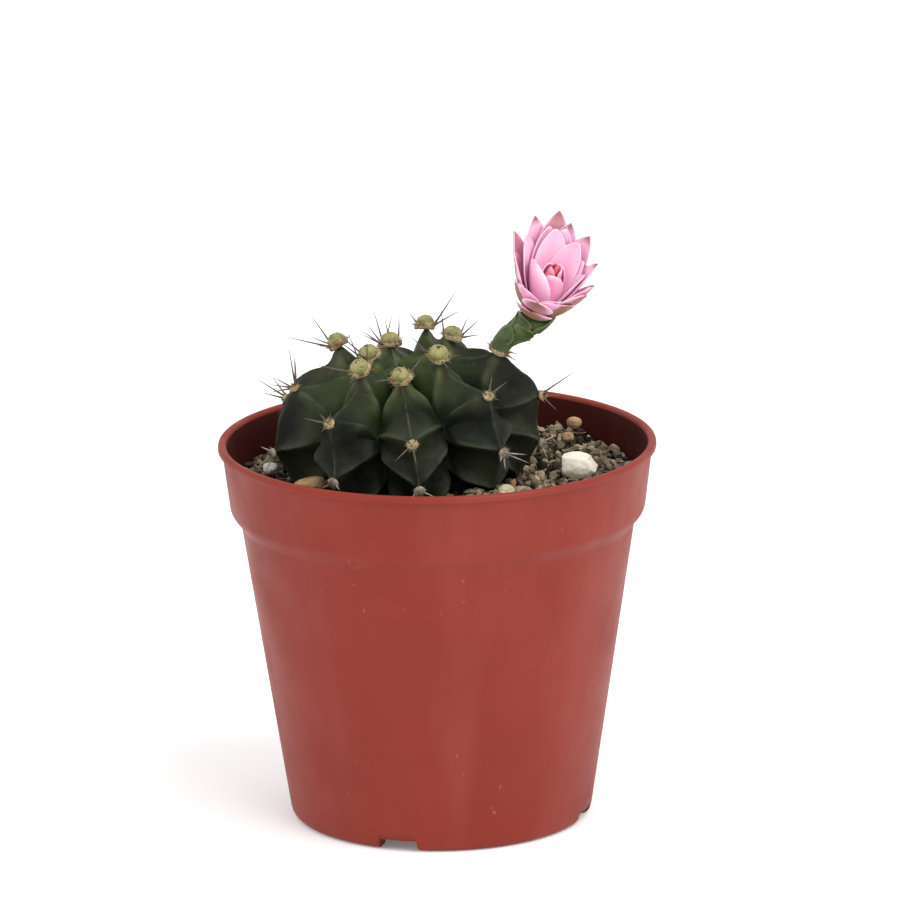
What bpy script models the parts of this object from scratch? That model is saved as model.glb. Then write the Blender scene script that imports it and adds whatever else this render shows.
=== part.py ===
"""A round, ribbed cactus in flower, growing in a plastic nursery pot.

World units are metres, +Z is up, and the origin is the middle of the pot's foot on the ground.
The plant is built in its own upright frame, on an empty that leans it in the pot. A turn is an
angle about an upright axis, from the front (-Y) towards the right (+X).
"""

import math

import bmesh
import bpy
from mathutils import Matrix, Vector
from mathutils.bvhtree import BVHTree

MM = 0.001
GAP = 0.3 * MM  # clearance between pieces that touch

# Pot: a thin moulded wall, with a beaded lip, a collar, and a foot ring under the floor.
POT_HEIGHT = 74.7 * MM
RIM_RADIUS = 42.5 * MM
WALL = 1.1 * MM
LIP_HEIGHT = 1.5 * MM
LIP_PROUD = 0.5 * MM
COLLAR_HEIGHT = 15.8 * MM
COLLAR_TAPER = 1.8 * MM
STEP_HEIGHT = 2.5 * MM
STEP_DEPTH = 2.0 * MM
FOOT_RADIUS = 29.1 * MM
HEEL_RADIUS = 2.0 * MM
FOOT_WIDTH = 2.4 * MM
FOOT_HEIGHT = 2.8 * MM
FLOOR = 1.2 * MM
POT_STEPS = 48

# Drainage: four windows through the foot ring, each with a hole through the floor behind it.
SLOTS = 4
SLOT_TURN = -17
SLOT_WIDTH = 8.7 * MM
SLOT_HEIGHT = 2.3 * MM
SLOT_TOP_SHARE = 0.86
DRAIN_LENGTH = 5.0 * MM

# Potting mix: fills the pot to some way under the rim and rises a little towards the middle.
SOIL_DROP = 7.9 * MM
SOIL_MOUND = 1.0 * MM
STONE_SIZE = (7.4 * MM, 5.6 * MM, 4.8 * MM)
STONE_INWARD = 2.75 * MM  # from the middle of the gap between the plant and the wall
STONE_FORWARD = 4.0 * MM

# Plant: its clearance to the left side of the pot's mouth, its lean, and the half sizes of its
# ribbed body.
PLANT_CLEAR_LEFT = 9.3 * MM
PLANT_ABOVE_RIM = 5.3 * MM
LEAN_LEFT = 8
LEAN_FORWARD = 3.5
BODY_RADIUS = 25.6 * MM
CROWN_HEIGHT = 10.4 * MM
UNDERSIDE_HEIGHT = 20.5 * MM
CROWN_SQUARENESS = 3.0
UNDERSIDE_SQUARENESS = 2.5
FURROW_DEPTH = 5.8 * MM
CREST_SHARPNESS = 1.25
BUMP_SPREAD = 3.0 * MM
RIB_COLUMNS = 6
BODY_ROWS = 20

# Each rib: its letter, its turn, and its areoles from the crown down. An areole has a latitude,
# which is 90 at the crown, and the height in mm of the bump of the rib that carries it.
RIBS = (
    ("a", -77, ((85, 0.3), (46, 1.1), (-3, 0.8))),
    ("b", -34, ((72, 1.2), (26, 1.1), (-11, 0.8))),
    ("c", 3, ((68, 0.4), (4, 1.1), (-15, 0.8))),
    ("d", 43, ((72, 0.9), (26, 1.1), (-9, 0.8))),
    ("e", 83, ((50, 1.0), (1, 1.1), (-20, 0.8))),
    ("f", 118, ((71, 1.4), (18, 1.1), (-16, 0.8))),
    ("g", 149, ((73, 2.1), (24, 1.1), (-10, 0.8))),
    ("i", 187, ((78, 0.2), (20, 1.1), (-12, 0.8))),
    ("h", 238, ((70, 2.4), (4, 1.1), (-15, 0.8))),
)
FLOWER_RIB = "e"

# Areoles: felt cushions on the rib crests, each with a fan of spines.
PAD_SIZE = (1.15 * MM, 1.0 * MM, 0.6 * MM)
CROWN_PAD_SIZE = (2.1 * MM, 2.0 * MM, 0.5 * MM)
SPINE_RADIUS = 0.2 * MM
SPINE_TIP_RADIUS = 0.05 * MM
SPINE_LENGTHS = (6.5 * MM, 7.5 * MM, 5.0 * MM)
SPINE_SPREAD = 50
SPINE_FAN = (-95, -45, 0, 45, 95)
CROWN_SPINE_SPREAD = 62
CROWN_SPINE_FAN = (125, 180, 235)

# Flower buds: one on the crown areole of every rib but the flowering one.
BUD_RADIUS = 1.75 * MM
BUD_HEIGHT_SHARE = 0.85

# Flower: a tube that bends up from its areole, and whorls of petals at its top.
TUBE_REACH = Vector((7.6, -2.0, 7.6)) * MM
TUBE_BASE_RADIUS = 2.1 * MM
TUBE_TOP_RADIUS = 3.3 * MM
TUBE_BEND = 4.0 * MM
FLOWER_LEAN = 31
FLOWER_TURN = 36
PETAL_THICKNESS = 0.35 * MM
PETAL_RISE = 0.6 * MM
WHORL_SPACING = 0.72 * MM
HEART_BASE_RADIUS = 0.9 * MM
HEART_RADIUS = 2.2 * MM
HEART_HEIGHT = 11.5 * MM

# Each whorl, from the inside out: name, petals, length, mouth radius, half width, first turn, colour.
WHORLS = (
    ("inner_petal", 5, 14.5 * MM, 5.2 * MM, 2.8 * MM, 20, (0.93, 0.42, 0.60)),
    ("outer_petal", 7, 18.0 * MM, 8.6 * MM, 2.9 * MM, 0, (0.94, 0.55, 0.70)),
    ("sepal", 6, 12.0 * MM, 9.8 * MM, 2.6 * MM, 25, (0.52, 0.30, 0.20)),
)


def make_material(name, colour, roughness, metallic=0.0):
    material = bpy.data.materials.new(name)
    material.use_nodes = True
    shader = material.node_tree.nodes["Principled BSDF"]
    shader.inputs["Base Color"].default_value = (*colour, 1)
    shader.inputs["Roughness"].default_value = roughness
    shader.inputs["Metallic"].default_value = metallic
    return material


def add_object(name, data, collection, material=None, parent=None):
    made = bpy.data.objects.new(name, data)
    collection.objects.link(made)
    if material:
        data.materials.append(material)
    made.parent = parent
    return made


def add_helper(name, data, parent=None):
    """A cutter, or a shape that a union takes in: it is never part of the object by itself."""
    made = add_object(name, data, helpers, parent=parent)
    made.hide_render = True
    made.display_type = "WIRE"
    return made


def mesh_from(name, shape):
    bmesh.ops.recalc_face_normals(shape, faces=shape.faces)
    if shape.calc_volume(signed=True) < 0:
        bmesh.ops.reverse_faces(shape, faces=shape.faces)
    mesh = bpy.data.meshes.new(name)
    shape.to_mesh(mesh)
    shape.free()
    mesh.shade_smooth()
    mesh.set_sharp_from_angle(angle=math.radians(40))
    return mesh


def add_boolean(target, tool, operation):
    modifier = target.modifiers.new(f"{operation.lower()}_{tool.name}", "BOOLEAN")
    modifier.operation = operation
    modifier.object = tool
    modifier.solver = "EXACT"


def add_turned(name, outline, steps, material, parent=None):
    """A solid turned about Z, from an outline of (radius, height) that runs down its outer side."""
    mesh = bpy.data.meshes.new(name)
    points = [(radius, 0, height) for radius, height in outline]
    mesh.from_pydata(points, [(i, i + 1) for i in range(len(points) - 1)], [])
    made = add_object(name, mesh, part, material, parent)
    screw = made.modifiers.new("turn", "SCREW")
    screw.steps = steps
    screw.render_steps = steps
    screw.use_merge_vertices = True
    screw.merge_threshold = 0.00001
    screw.use_smooth_shade = True
    return made


def towards(turn, reach=1.0, height=0.0):
    angle = math.radians(turn)
    return Vector((reach * math.sin(angle), -reach * math.cos(angle), height))


# Pot

STEP_Z = POT_HEIGHT - COLLAR_HEIGHT
COLLAR_TOP_RADIUS = RIM_RADIUS - LIP_PROUD
COLLAR_FOOT_RADIUS = COLLAR_TOP_RADIUS - COLLAR_TAPER
BODY_TOP_RADIUS = COLLAR_FOOT_RADIUS - STEP_DEPTH
FLOOR_TOP = FOOT_HEIGHT + FLOOR


def wall_radius(z):
    """Outer radius of the pot's wall at a height, without the lip's bead and the rounded heel."""
    levels = (
        (0, FOOT_RADIUS),
        (STEP_Z, BODY_TOP_RADIUS),
        (STEP_Z + STEP_HEIGHT, COLLAR_FOOT_RADIUS),
        (POT_HEIGHT, COLLAR_TOP_RADIUS),
    )
    for (low, low_radius), (high, high_radius) in zip(levels, levels[1:]):
        if z <= high:
            break
    return low_radius + (high_radius - low_radius) * (z - low) / (high - low)


def inside_radius(z):
    return wall_radius(z) - WALL


def arc(radius, height, size, start, stop, steps):
    """Points of an arc about (radius, height), from one angle to another, in degrees."""
    for i in range(steps + 1):
        angle = math.radians(start + (stop - start) * i / steps)
        yield radius + size * math.cos(angle), height + size * math.sin(angle)


def plant_offset():
    """Where the plant stands: left of the pot's middle, as far as its clearance lets it."""
    return BODY_RADIUS + PLANT_CLEAR_LEFT - inside_radius(POT_HEIGHT)


def pot_outline():
    bead = (RIM_RADIUS - inside_radius(POT_HEIGHT)) / 2
    under_lip = POT_HEIGHT - LIP_HEIGHT
    inner_levels = (FLOOR_TOP, STEP_Z, STEP_Z + STEP_HEIGHT)
    yield 0, FLOOR_TOP
    for z in inner_levels:
        yield inside_radius(z), z
    yield from arc(RIM_RADIUS - bead, POT_HEIGHT - bead, bead, 180, 0, 6)
    yield RIM_RADIUS, under_lip + LIP_PROUD / 2
    yield wall_radius(under_lip), under_lip
    yield COLLAR_FOOT_RADIUS, STEP_Z + STEP_HEIGHT
    yield BODY_TOP_RADIUS, STEP_Z
    yield from arc(FOOT_RADIUS - HEEL_RADIUS, HEEL_RADIUS, HEEL_RADIUS, 0, -90, 4)
    foot_inside = FOOT_RADIUS - HEEL_RADIUS - FOOT_WIDTH
    yield foot_inside, 0
    yield foot_inside, FOOT_HEIGHT
    yield 0, FOOT_HEIGHT


def box_between(name, near, far, low, high, width, top_share, turn):
    """A block that points along a turn, from one reach to another, and narrows towards its top."""
    shape = bmesh.new()
    bmesh.ops.create_cube(shape, size=1)
    for vert in shape.verts:
        share = top_share if vert.co.z > 0 else 1
        vert.co.x *= width * share
        vert.co.y = -(near + (far - near) * (0.5 - vert.co.y))
        vert.co.z = low + (high - low) * (0.5 + vert.co.z)
    mesh = mesh_from(name, shape)
    made = add_helper(name, mesh)
    made.rotation_euler = (0, 0, math.radians(turn))
    return made


def make_pot():
    material = make_material("red_plastic", (0.42, 0.09, 0.06), 0.55)
    pot = add_turned("nursery_pot", list(pot_outline()), POT_STEPS, material)
    inside = inside_radius(FLOOR_TOP)
    clear = 2 * MM
    for i in range(SLOTS):
        turn = SLOT_TURN + i * 360 / SLOTS
        near = inside - DRAIN_LENGTH
        far = FOOT_RADIUS + clear
        window = box_between(
            f"slot_{i}", near, far, -SLOT_HEIGHT, SLOT_HEIGHT, SLOT_WIDTH, SLOT_TOP_SHARE, turn
        )
        drain_top = FLOOR_TOP + clear
        drain_far = inside - GAP
        drain_width = SLOT_WIDTH * SLOT_TOP_SHARE - GAP
        drain = box_between(
            f"drain_{i}", near + GAP, drain_far, SLOT_HEIGHT / 2, drain_top, drain_width, 1, turn
        )
        add_boolean(pot, window, "DIFFERENCE")
        add_boolean(pot, drain, "DIFFERENCE")


# Plant body


def rib_at(column):
    """Rib, turn and distance from the crest (0) to the furrow (1) at a column round the plant.

    A column counts in ribs, so column 2.5 lies in the furrow between ribs 2 and 3.
    """
    below = math.floor(column) % len(RIBS)
    share = column - math.floor(column)
    above = (below + 1) % len(RIBS)
    start = RIBS[below][1]
    span = (RIBS[above][1] - start) % 360
    nearest = below if share < 0.5 else above
    return RIBS[nearest], start + span * share, 2 * min(share, 1 - share)


def crest_point(latitude, grown=0.0):
    """Distance from the axis and height of a rib's plain crest at a latitude."""
    angle = math.radians(latitude)
    above = latitude > 0
    power = 2 / (CROWN_SQUARENESS if above else UNDERSIDE_SQUARENESS)
    half_height = CROWN_HEIGHT if above else UNDERSIDE_HEIGHT
    reach = (BODY_RADIUS + grown) * abs(math.cos(angle)) ** power
    height = (half_height + grown) * abs(math.sin(angle)) ** power
    return reach, math.copysign(height, latitude)


def crest_slope(latitude):
    """Outward direction (reach, height) at right angles to the crest."""
    low = Vector(crest_point(latitude - 1))
    high = Vector(crest_point(latitude + 1))
    along = high - low
    return Vector((along.y, -along.x)).normalized()


def body_point(column, latitude, grown=0.0):
    (_, _, areoles), turn, share = rib_at(column)
    reach, height = crest_point(latitude, grown)
    furrow = min(FURROW_DEPTH, reach / 2)
    reach -= furrow * share**CREST_SHARPNESS
    slope = crest_slope(latitude)
    crest = Vector(crest_point(latitude))
    for place, bump in areoles:
        away = (crest - Vector(crest_point(place))).length
        near = math.exp(-((away / BUMP_SPREAD) ** 2))
        out = bump * MM * near * (1 - share)
        reach += out * slope.x
        height += out * slope.y
    return towards(turn, reach, height)


def body_mesh(name, grown=0.0):
    """A round cage, pulled out into ribs."""
    shape = bmesh.new()
    columns = RIB_COLUMNS * len(RIBS)
    bmesh.ops.create_uvsphere(shape, u_segments=columns, v_segments=BODY_ROWS, radius=1)
    for vert in shape.verts:
        latitude = math.degrees(math.asin(max(-1, min(1, vert.co.z))))
        around = math.atan2(vert.co.x, -vert.co.y) / math.tau * len(RIBS)
        vert.co = body_point(round(around * RIB_COLUMNS) / RIB_COLUMNS, latitude, grown)
    return mesh_from(name, shape)


def make_body():
    material = make_material("cactus_skin", (0.035, 0.065, 0.035), 0.5)
    return add_object("cactus_body", body_mesh("cactus_body"), part, material, plant)


# Potting mix


def soil_height(radius):
    share = max(0, 1 - radius / inside_radius(POT_HEIGHT - SOIL_DROP))
    return POT_HEIGHT - SOIL_DROP + SOIL_MOUND * share


def soil_outline():
    top = POT_HEIGHT - SOIL_DROP
    edge = inside_radius(top) - GAP
    mound_steps = 5
    for i in range(mound_steps):
        radius = edge * i / mound_steps
        yield radius, soil_height(radius)
    yield edge, top
    for z in (STEP_Z + STEP_HEIGHT, STEP_Z, FLOOR_TOP + GAP):
        yield inside_radius(z) - GAP * 1.2, z
    yield 0, FLOOR_TOP + GAP


def make_soil():
    material = make_material("potting_mix", (0.20, 0.17, 0.13), 0.95)
    soil = add_turned("potting_mix", list(soil_outline()), POT_STEPS, material)
    hollow = add_helper("plant_hollow", body_mesh("plant_hollow", grown=1.4 * GAP), plant)
    add_boolean(soil, hollow, "DIFFERENCE")


def make_stone():
    material = make_material("pumice", (0.62, 0.58, 0.50), 0.9)
    shape = bmesh.new()
    half = [size / 2 for size in STONE_SIZE]
    bmesh.ops.create_icosphere(shape, subdivisions=2, radius=1)
    for vert in shape.verts:
        dent = 1 + 0.08 * math.sin(5 * vert.co.x + 2) * math.cos(4 * vert.co.y)
        vert.co = Vector(side * value for side, value in zip(half, vert.co)) * dent
    low = min(vert.co.z for vert in shape.verts)
    stone = add_object("pumice_stone", mesh_from("pumice_stone", shape), part, material)
    gap_middle = (plant_offset() + BODY_RADIUS + inside_radius(POT_HEIGHT)) / 2
    x = gap_middle - STONE_INWARD
    rest = soil_height(0.8 * math.hypot(x, STONE_FORWARD))
    stone.location = (x, -STONE_FORWARD, rest + GAP - low)


# Areoles, buds and spines


def seat_on_body(turn, latitude):
    """Where an areole sits: the point of the body, in the plant's frame, and its axes there."""
    slope = crest_slope(latitude)
    normal = towards(turn, slope.x, slope.y)
    reach, height = crest_point(latitude)
    clear = 10 * MM
    start = towards(turn, reach, height) + clear * normal
    point = body_tree.ray_cast(start, -normal)[0]
    side = Vector((0, 0, 1)).cross(normal).normalized()
    up = normal.cross(side)
    return point, Matrix((side, up, normal)).transposed()


def spine_shapes(shape, root, spread, fan, first_length):
    """Thin cones that stand out of a cushion, so far apart at their roots that none touch."""
    sunk = 0.35 * MM
    for i, angle in enumerate(fan):
        length = SPINE_LENGTHS[(i + first_length) % len(SPINE_LENGTHS)]
        around = Matrix.Rotation(math.radians(-angle), 4, "Z")
        tilt = Matrix.Rotation(math.radians(-spread), 4, "X")
        place = around @ Matrix.Translation((0, root, -sunk)) @ tilt
        lift = Matrix.Translation((0, 0, length / 2))
        bmesh.ops.create_cone(
            shape,
            segments=3,
            radius1=SPINE_RADIUS,
            radius2=SPINE_TIP_RADIUS,
            depth=length,
            cap_ends=True,
            matrix=place @ lift,
        )


def add_areole(name, turn, latitude, size, spread, fan, first_length):
    """One cushion and its spines, joined. It returns the middle of the cushion's top and its axes."""
    point, axes = seat_on_body(turn, latitude)
    cushion = bmesh.new()
    bmesh.ops.create_uvsphere(cushion, u_segments=8, v_segments=4, radius=1)
    bmesh.ops.scale(cushion, vec=size, verts=cushion.verts)
    spines = bmesh.new()
    spine_shapes(spines, 0.6 * size[0], spread, fan, first_length)
    seat = point + axes.col[2] * (GAP + size[2])
    pad = add_object(name, mesh_from(name, cushion), part, felt, plant)
    tool = add_helper(f"{name}_spines", mesh_from(f"{name}_spines", spines), plant)
    for made in (pad, tool):
        made.location = seat
        made.rotation_euler = axes.to_euler()
    add_boolean(pad, tool, "UNION")
    return seat + axes.col[2] * size[2], axes


def add_bud(name, top, axes):
    """A small round bud that stands on its cushion, a little squat, with a dimple on its end."""
    shape = bmesh.new()
    bmesh.ops.create_uvsphere(shape, u_segments=10, v_segments=8, radius=1)
    for vert in shape.verts:
        if vert.co.z > 0.99:
            vert.co.z = 0.85
    height = BUD_RADIUS * BUD_HEIGHT_SHARE
    bmesh.ops.scale(shape, vec=(BUD_RADIUS, BUD_RADIUS, height), verts=shape.verts)
    bud = add_object(name, mesh_from(name, shape), part, bud_green, plant)
    bud.location = top + axes.col[2] * (GAP + height)
    bud.rotation_euler = axes.to_euler()


def make_areoles():
    """Cushions, spines and buds of every rib. It returns where the flower's tube starts."""
    for rib, (letter, turn, areoles) in enumerate(RIBS):
        for level, (latitude, _) in enumerate(areoles):
            name = f"areole_{letter}{level + 1}"
            if level > 0:
                add_areole(name, turn, latitude, PAD_SIZE, SPINE_SPREAD, SPINE_FAN, rib + level)
                continue
            top, axes = add_areole(
                name, turn, latitude, CROWN_PAD_SIZE, CROWN_SPINE_SPREAD, CROWN_SPINE_FAN, rib
            )
            if letter == FLOWER_RIB:
                flower_seat = top, axes
            else:
                add_bud(f"bud_{letter}", top, axes)
    return flower_seat


# Flower


def make_tube(seat):
    """The green tube, on the flower's areole. It returns the middle of its flat top."""
    top, axes = seat
    leave = plant.matrix_basis.to_3x3() @ axes.col[2]
    start = plant.matrix_basis @ top + leave * GAP
    end = start + TUBE_REACH
    curve = bpy.data.curves.new("flower_tube", "CURVE")
    curve.dimensions = "3D"
    curve.bevel_depth = 1
    curve.bevel_resolution = 3
    curve.resolution_u = 8
    curve.use_fill_caps = True
    spline = curve.splines.new("BEZIER")
    spline.bezier_points.add(1)
    ends = ((start, leave, TUBE_BASE_RADIUS), (end, flower_axis, TUBE_TOP_RADIUS))
    for point, (place, heading, radius) in zip(spline.bezier_points, ends):
        point.co = place
        point.handle_left = place - heading * TUBE_BEND
        point.handle_right = place + heading * TUBE_BEND
        point.radius = radius
    add_object("flower_tube", curve, part, make_material("flower_tube", (0.10, 0.19, 0.06), 0.5))
    return end


def petal_point(along, across, length, base, mouth, half_width, sector):
    """A point of a petal that stands over turn 0 of the flower's axis, cupped about that axis."""
    reach = base + (mouth - base) * math.sin(along * math.pi / 2) ** 0.9
    width = half_width * math.sin(math.pi * (0.16 + 0.8 * along)) ** 0.7
    angle = min(width / reach, 0.44 * sector) * across
    return towards(math.degrees(angle), reach, length * along)


def petal_mesh(name, length, base, mouth, half_width, sector):
    shape = bmesh.new()
    rows, columns = 6, 4
    bmesh.ops.create_grid(shape, x_segments=columns, y_segments=rows, size=0.5)
    for vert in shape.verts:
        vert.co = petal_point(
            vert.co.y + 0.5, 2 * vert.co.x, length, base, mouth, half_width, sector
        )
    return mesh_from(name, shape)


def make_petals(flower):
    for ring, (name, count, length, mouth, half_width, first, colour) in enumerate(WHORLS):
        material = make_material(name, colour, 0.5)
        base = HEART_BASE_RADIUS + (ring + 1) * WHORL_SPACING
        mesh = petal_mesh(name, length, base, mouth, half_width, math.tau / count)
        for i in range(count):
            petal = add_object(f"{name}_{i + 1}", mesh, part, parent=flower)
            petal.location = (0, 0, PETAL_RISE)
            petal.rotation_euler = (0, 0, math.radians(first + i * 360 / count))
            shell = petal.modifiers.new("thickness", "SOLIDIFY")
            shell.thickness = PETAL_THICKNESS
            shell.offset = 0
        mesh.materials.append(material)


def make_heart(flower):
    """The innermost petals, still rolled into a closed cone, which hides the stamens."""
    outline = (
        (0, HEART_HEIGHT - 0.5 * MM),
        (0.5 * HEART_RADIUS, HEART_HEIGHT),
        (0.85 * HEART_RADIUS, HEART_HEIGHT - 0.6 * MM),
        (HEART_RADIUS, 0.65 * HEART_HEIGHT),
        (0.8 * HEART_RADIUS, 0.3 * HEART_HEIGHT),
        (HEART_BASE_RADIUS, PETAL_RISE),
        (0, PETAL_RISE),
    )
    material = make_material("heart_petals", (0.95, 0.22, 0.30), 0.5)
    add_turned("flower_heart", outline, 14, material, flower)


for old in list(bpy.data.objects):
    bpy.data.objects.remove(old)
part = bpy.data.collections.new("potted_round_cactus")
helpers = bpy.data.collections.new("cutters")
bpy.context.scene.collection.children.link(part)
bpy.context.scene.collection.children.link(helpers)

plant = add_object("plant_axis", None, part)
plant.location = (plant_offset(), 0, POT_HEIGHT + PLANT_ABOVE_RIM)
plant.rotation_euler = (math.radians(LEAN_FORWARD), math.radians(-LEAN_LEFT), 0)
flower_axis = towards(
    FLOWER_TURN, math.sin(math.radians(FLOWER_LEAN)), math.cos(math.radians(FLOWER_LEAN))
)
felt = make_material("areole_felt", (0.62, 0.52, 0.36), 0.9)
bud_green = make_material("bud_green", (0.45, 0.46, 0.16), 0.6)

make_pot()
make_soil()
make_stone()
body = make_body()
body_tree = BVHTree.FromObject(body, bpy.context.evaluated_depsgraph_get())
flower_seat = make_areoles()
flower = add_object("flower_centre", None, part)
flower.location = make_tube(flower_seat)
flower.rotation_euler = flower_axis.to_track_quat("Z", "Y").to_euler()
make_petals(flower)
make_heart(flower)
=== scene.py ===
"""The looks of a round cactus in flower, growing in a plastic nursery pot.

The origin is the middle of the pot's foot on the ground, and +Z is up. A turn is an angle about an
upright axis, from the front (-Y) towards the right (+X).
"""

import math
import random

import bmesh
import bpy
from mathutils import Matrix, Vector, noise
from mathutils.bvhtree import BVHTree


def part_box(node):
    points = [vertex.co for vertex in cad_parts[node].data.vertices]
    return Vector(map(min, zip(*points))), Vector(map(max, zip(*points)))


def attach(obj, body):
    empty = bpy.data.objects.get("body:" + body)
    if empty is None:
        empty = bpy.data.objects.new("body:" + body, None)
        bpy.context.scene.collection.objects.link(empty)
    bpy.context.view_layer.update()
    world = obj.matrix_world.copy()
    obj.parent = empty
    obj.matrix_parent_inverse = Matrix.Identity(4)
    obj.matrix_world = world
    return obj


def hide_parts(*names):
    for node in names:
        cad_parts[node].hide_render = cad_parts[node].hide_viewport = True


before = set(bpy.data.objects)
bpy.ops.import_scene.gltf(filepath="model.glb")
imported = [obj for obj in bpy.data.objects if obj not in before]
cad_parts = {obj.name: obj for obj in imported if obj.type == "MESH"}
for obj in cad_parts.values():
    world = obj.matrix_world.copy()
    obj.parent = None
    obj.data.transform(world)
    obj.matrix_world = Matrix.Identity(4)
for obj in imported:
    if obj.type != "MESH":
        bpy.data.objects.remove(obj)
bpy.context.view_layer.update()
MM = 0.001


# The room: a pale floor, an even white surround and two broad soft lamps, the brighter one
# on the right. The camera stands far off and a little above the rim, with a long lens.

CAMERA_AWAY = 2.0
CAMERA_ABOVE = 15.08
CAMERA_ROLL = -0.7
CAMERA_LENS = 412.9
LOOKS_AT = Vector((2.48, 0, 72.6)) * MM
FLOOR_SIZE = 12


def towards(turn, reach=1.0, height=0.0):
    angle = math.radians(turn)
    return Vector((reach * math.sin(angle), -reach * math.cos(angle), height))


def aim(made, place, target, roll=0.0):
    made.location = place
    turned = (target - place).to_track_quat("-Z", "Y").to_matrix()
    made.rotation_euler = (turned @ Matrix.Rotation(math.radians(roll), 3, "Z")).to_euler()
    bpy.context.scene.collection.objects.link(made)


def add_lamp(name, turn, above, away, size, power, colour):
    lamp = bpy.data.lights.new(name, "AREA")
    lamp.shape = "DISK"
    lamp.size = size
    lamp.energy = power
    lamp.color = colour
    up = math.radians(above)
    place = towards(turn, away * math.cos(up), away * math.sin(up))
    aim(bpy.data.objects.new(name, lamp), place, LOOKS_AT)


camera = bpy.data.objects.new("camera", bpy.data.cameras.new("camera"))
camera.data.lens = CAMERA_LENS
camera.data.clip_end = 50
up = math.radians(CAMERA_ABOVE)
eye = LOOKS_AT + towards(0, CAMERA_AWAY * math.cos(up), CAMERA_AWAY * math.sin(up))
aim(camera, eye, LOOKS_AT, CAMERA_ROLL)
bpy.context.scene.camera = camera
bpy.context.scene.view_settings.view_transform = "Standard"

add_lamp("key_lamp", 48, 50, 2.4, 2.2, 37, (1.0, 0.985, 0.96))
add_lamp("fill_lamp", -60, 40, 2.6, 2.0, 11, (0.97, 0.985, 1.0))
world = bpy.data.worlds.new("surround")
bpy.context.scene.world = world
world.use_nodes = True
world.node_tree.nodes["Background"].inputs["Color"].default_value = (1, 1, 1, 1)
world.node_tree.nodes["Background"].inputs["Strength"].default_value = 0.90

floor_shape = bmesh.new()
bmesh.ops.create_grid(floor_shape, x_segments=1, y_segments=1, size=FLOOR_SIZE / 2)
floor_mesh = bpy.data.meshes.new("floor")
floor_shape.to_mesh(floor_mesh)
floor_shape.free()
floor = bpy.data.objects.new("floor", floor_mesh)
bpy.context.scene.collection.objects.link(floor)
floor_paint = bpy.data.materials.new("pale_floor")
floor_paint.use_nodes = True
floor_shader = floor_paint.node_tree.nodes["Principled BSDF"]
floor_shader.inputs["Base Color"].default_value = (0.97, 0.97, 0.97, 1)
floor_shader.inputs["Roughness"].default_value = 0.9
floor_shader.inputs["Emission Color"].default_value = (1, 1, 1, 1)
floor_shader.inputs["Emission Strength"].default_value = 0.13
floor_mesh.materials.append(floor_paint)


# Nursery pot: one thin moulding in matt red-brown plastic, with a beaded lip, a tapered collar
# and four drainage slots cut through its foot ring. Handling has left pale scuffs on the collar.
# Its inside wall and floor are painted a much darker red: painted shade, standing in for the pot's shadow on its own
# inside.

WALL = 1.1 * MM
LIP_HEIGHT = 1.5 * MM
LIP_PROUD = 0.5 * MM
COLLAR_HEIGHT = 15.8 * MM
COLLAR_TAPER = 1.8 * MM
STEP_HEIGHT = 2.5 * MM
STEP_DEPTH = 2.0 * MM
FOOT_RADIUS = 29.1 * MM
HEEL_RADIUS = 2.0 * MM
FOOT_WIDTH = 2.4 * MM
FOOT_HEIGHT = 2.8 * MM
FLOOR_THICK = 1.2 * MM
SLOTS = 4
SLOT_TURN = -17
SLOT_SIZE = (8.7 * MM, 14 * MM, 4.6 * MM)
SLOT_TOP_SHARE = 0.86
DRAIN_SIZE = (7.1 * MM, 4.4 * MM, 6 * MM)
RED_PLASTIC = (0.228, 0.0230, 0.0122)
RED_PALE = (0.33, 0.085, 0.062)
# The inside colour is painted shade: the same plastic, painted far darker where the pot shades its own inside.
RED_INSIDE_PAINTED_SHADE = (0.050, 0.0065, 0.005)

pot_low, pot_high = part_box("nursery_pot")
RIM_RADIUS = pot_high.x
POT_HEIGHT = pot_high.z
STEP_Z = POT_HEIGHT - COLLAR_HEIGHT
COLLAR_TOP = RIM_RADIUS - LIP_PROUD
COLLAR_FOOT = COLLAR_TOP - COLLAR_TAPER
WALL_TOP = COLLAR_FOOT - STEP_DEPTH
FLOOR_TOP = FOOT_HEIGHT + FLOOR_THICK


def wall_radius(z):
    """Outer radius of the pot's wall at a height, without its lip and heel."""
    levels = (
        (0, FOOT_RADIUS),
        (STEP_Z, WALL_TOP),
        (STEP_Z + STEP_HEIGHT, COLLAR_FOOT),
        (POT_HEIGHT, COLLAR_TOP),
    )
    for (low, low_radius), (high, high_radius) in zip(levels, levels[1:]):
        if z <= high:
            break
    return low_radius + (high_radius - low_radius) * (z - low) / (high - low)


def rounded(corners, steps=5, spacing=2.5 * MM):
    """Points of a path through (reach, height, fillet) corners, no further apart than a spacing."""
    path = [Vector(corners[0][:2])]
    for before, corner, after in zip(corners, corners[1:], corners[2:]):
        middle = Vector(corner[:2])
        back = Vector(before[:2]) - middle
        ahead = Vector(after[:2]) - middle
        start = middle + back.normalized() * corner[2]
        stop = middle + ahead.normalized() * corner[2]
        for i in range(steps + 1):
            share = i / steps
            path.append(start.lerp(middle, share).lerp(middle.lerp(stop, share), share))
    path.append(Vector(corners[-1][:2]))
    filled = path[:1]
    for here, there in zip(path, path[1:]):
        parts = max(1, math.ceil((there - here).length / spacing))
        filled += [here.lerp(there, (i + 1) / parts) for i in range(parts)]
    return filled


def turned_shape(path, steps):
    """A closed bmesh, turned about Z from a path that starts and ends on the axis."""
    shape = bmesh.new()
    verts = [shape.verts.new((point.x, 0, point.y)) for point in path]
    edges = [shape.edges.new(pair) for pair in zip(verts, verts[1:])]
    bmesh.ops.spin(
        shape,
        geom=verts + edges,
        cent=(0, 0, 0),
        axis=(0, 0, 1),
        angle=math.tau,
        steps=steps,
        use_merge=True,
    )
    bmesh.ops.remove_doubles(shape, verts=shape.verts, dist=0.002 * MM)
    bmesh.ops.dissolve_degenerate(shape, edges=shape.edges, dist=0.002 * MM)
    return shape


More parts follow.
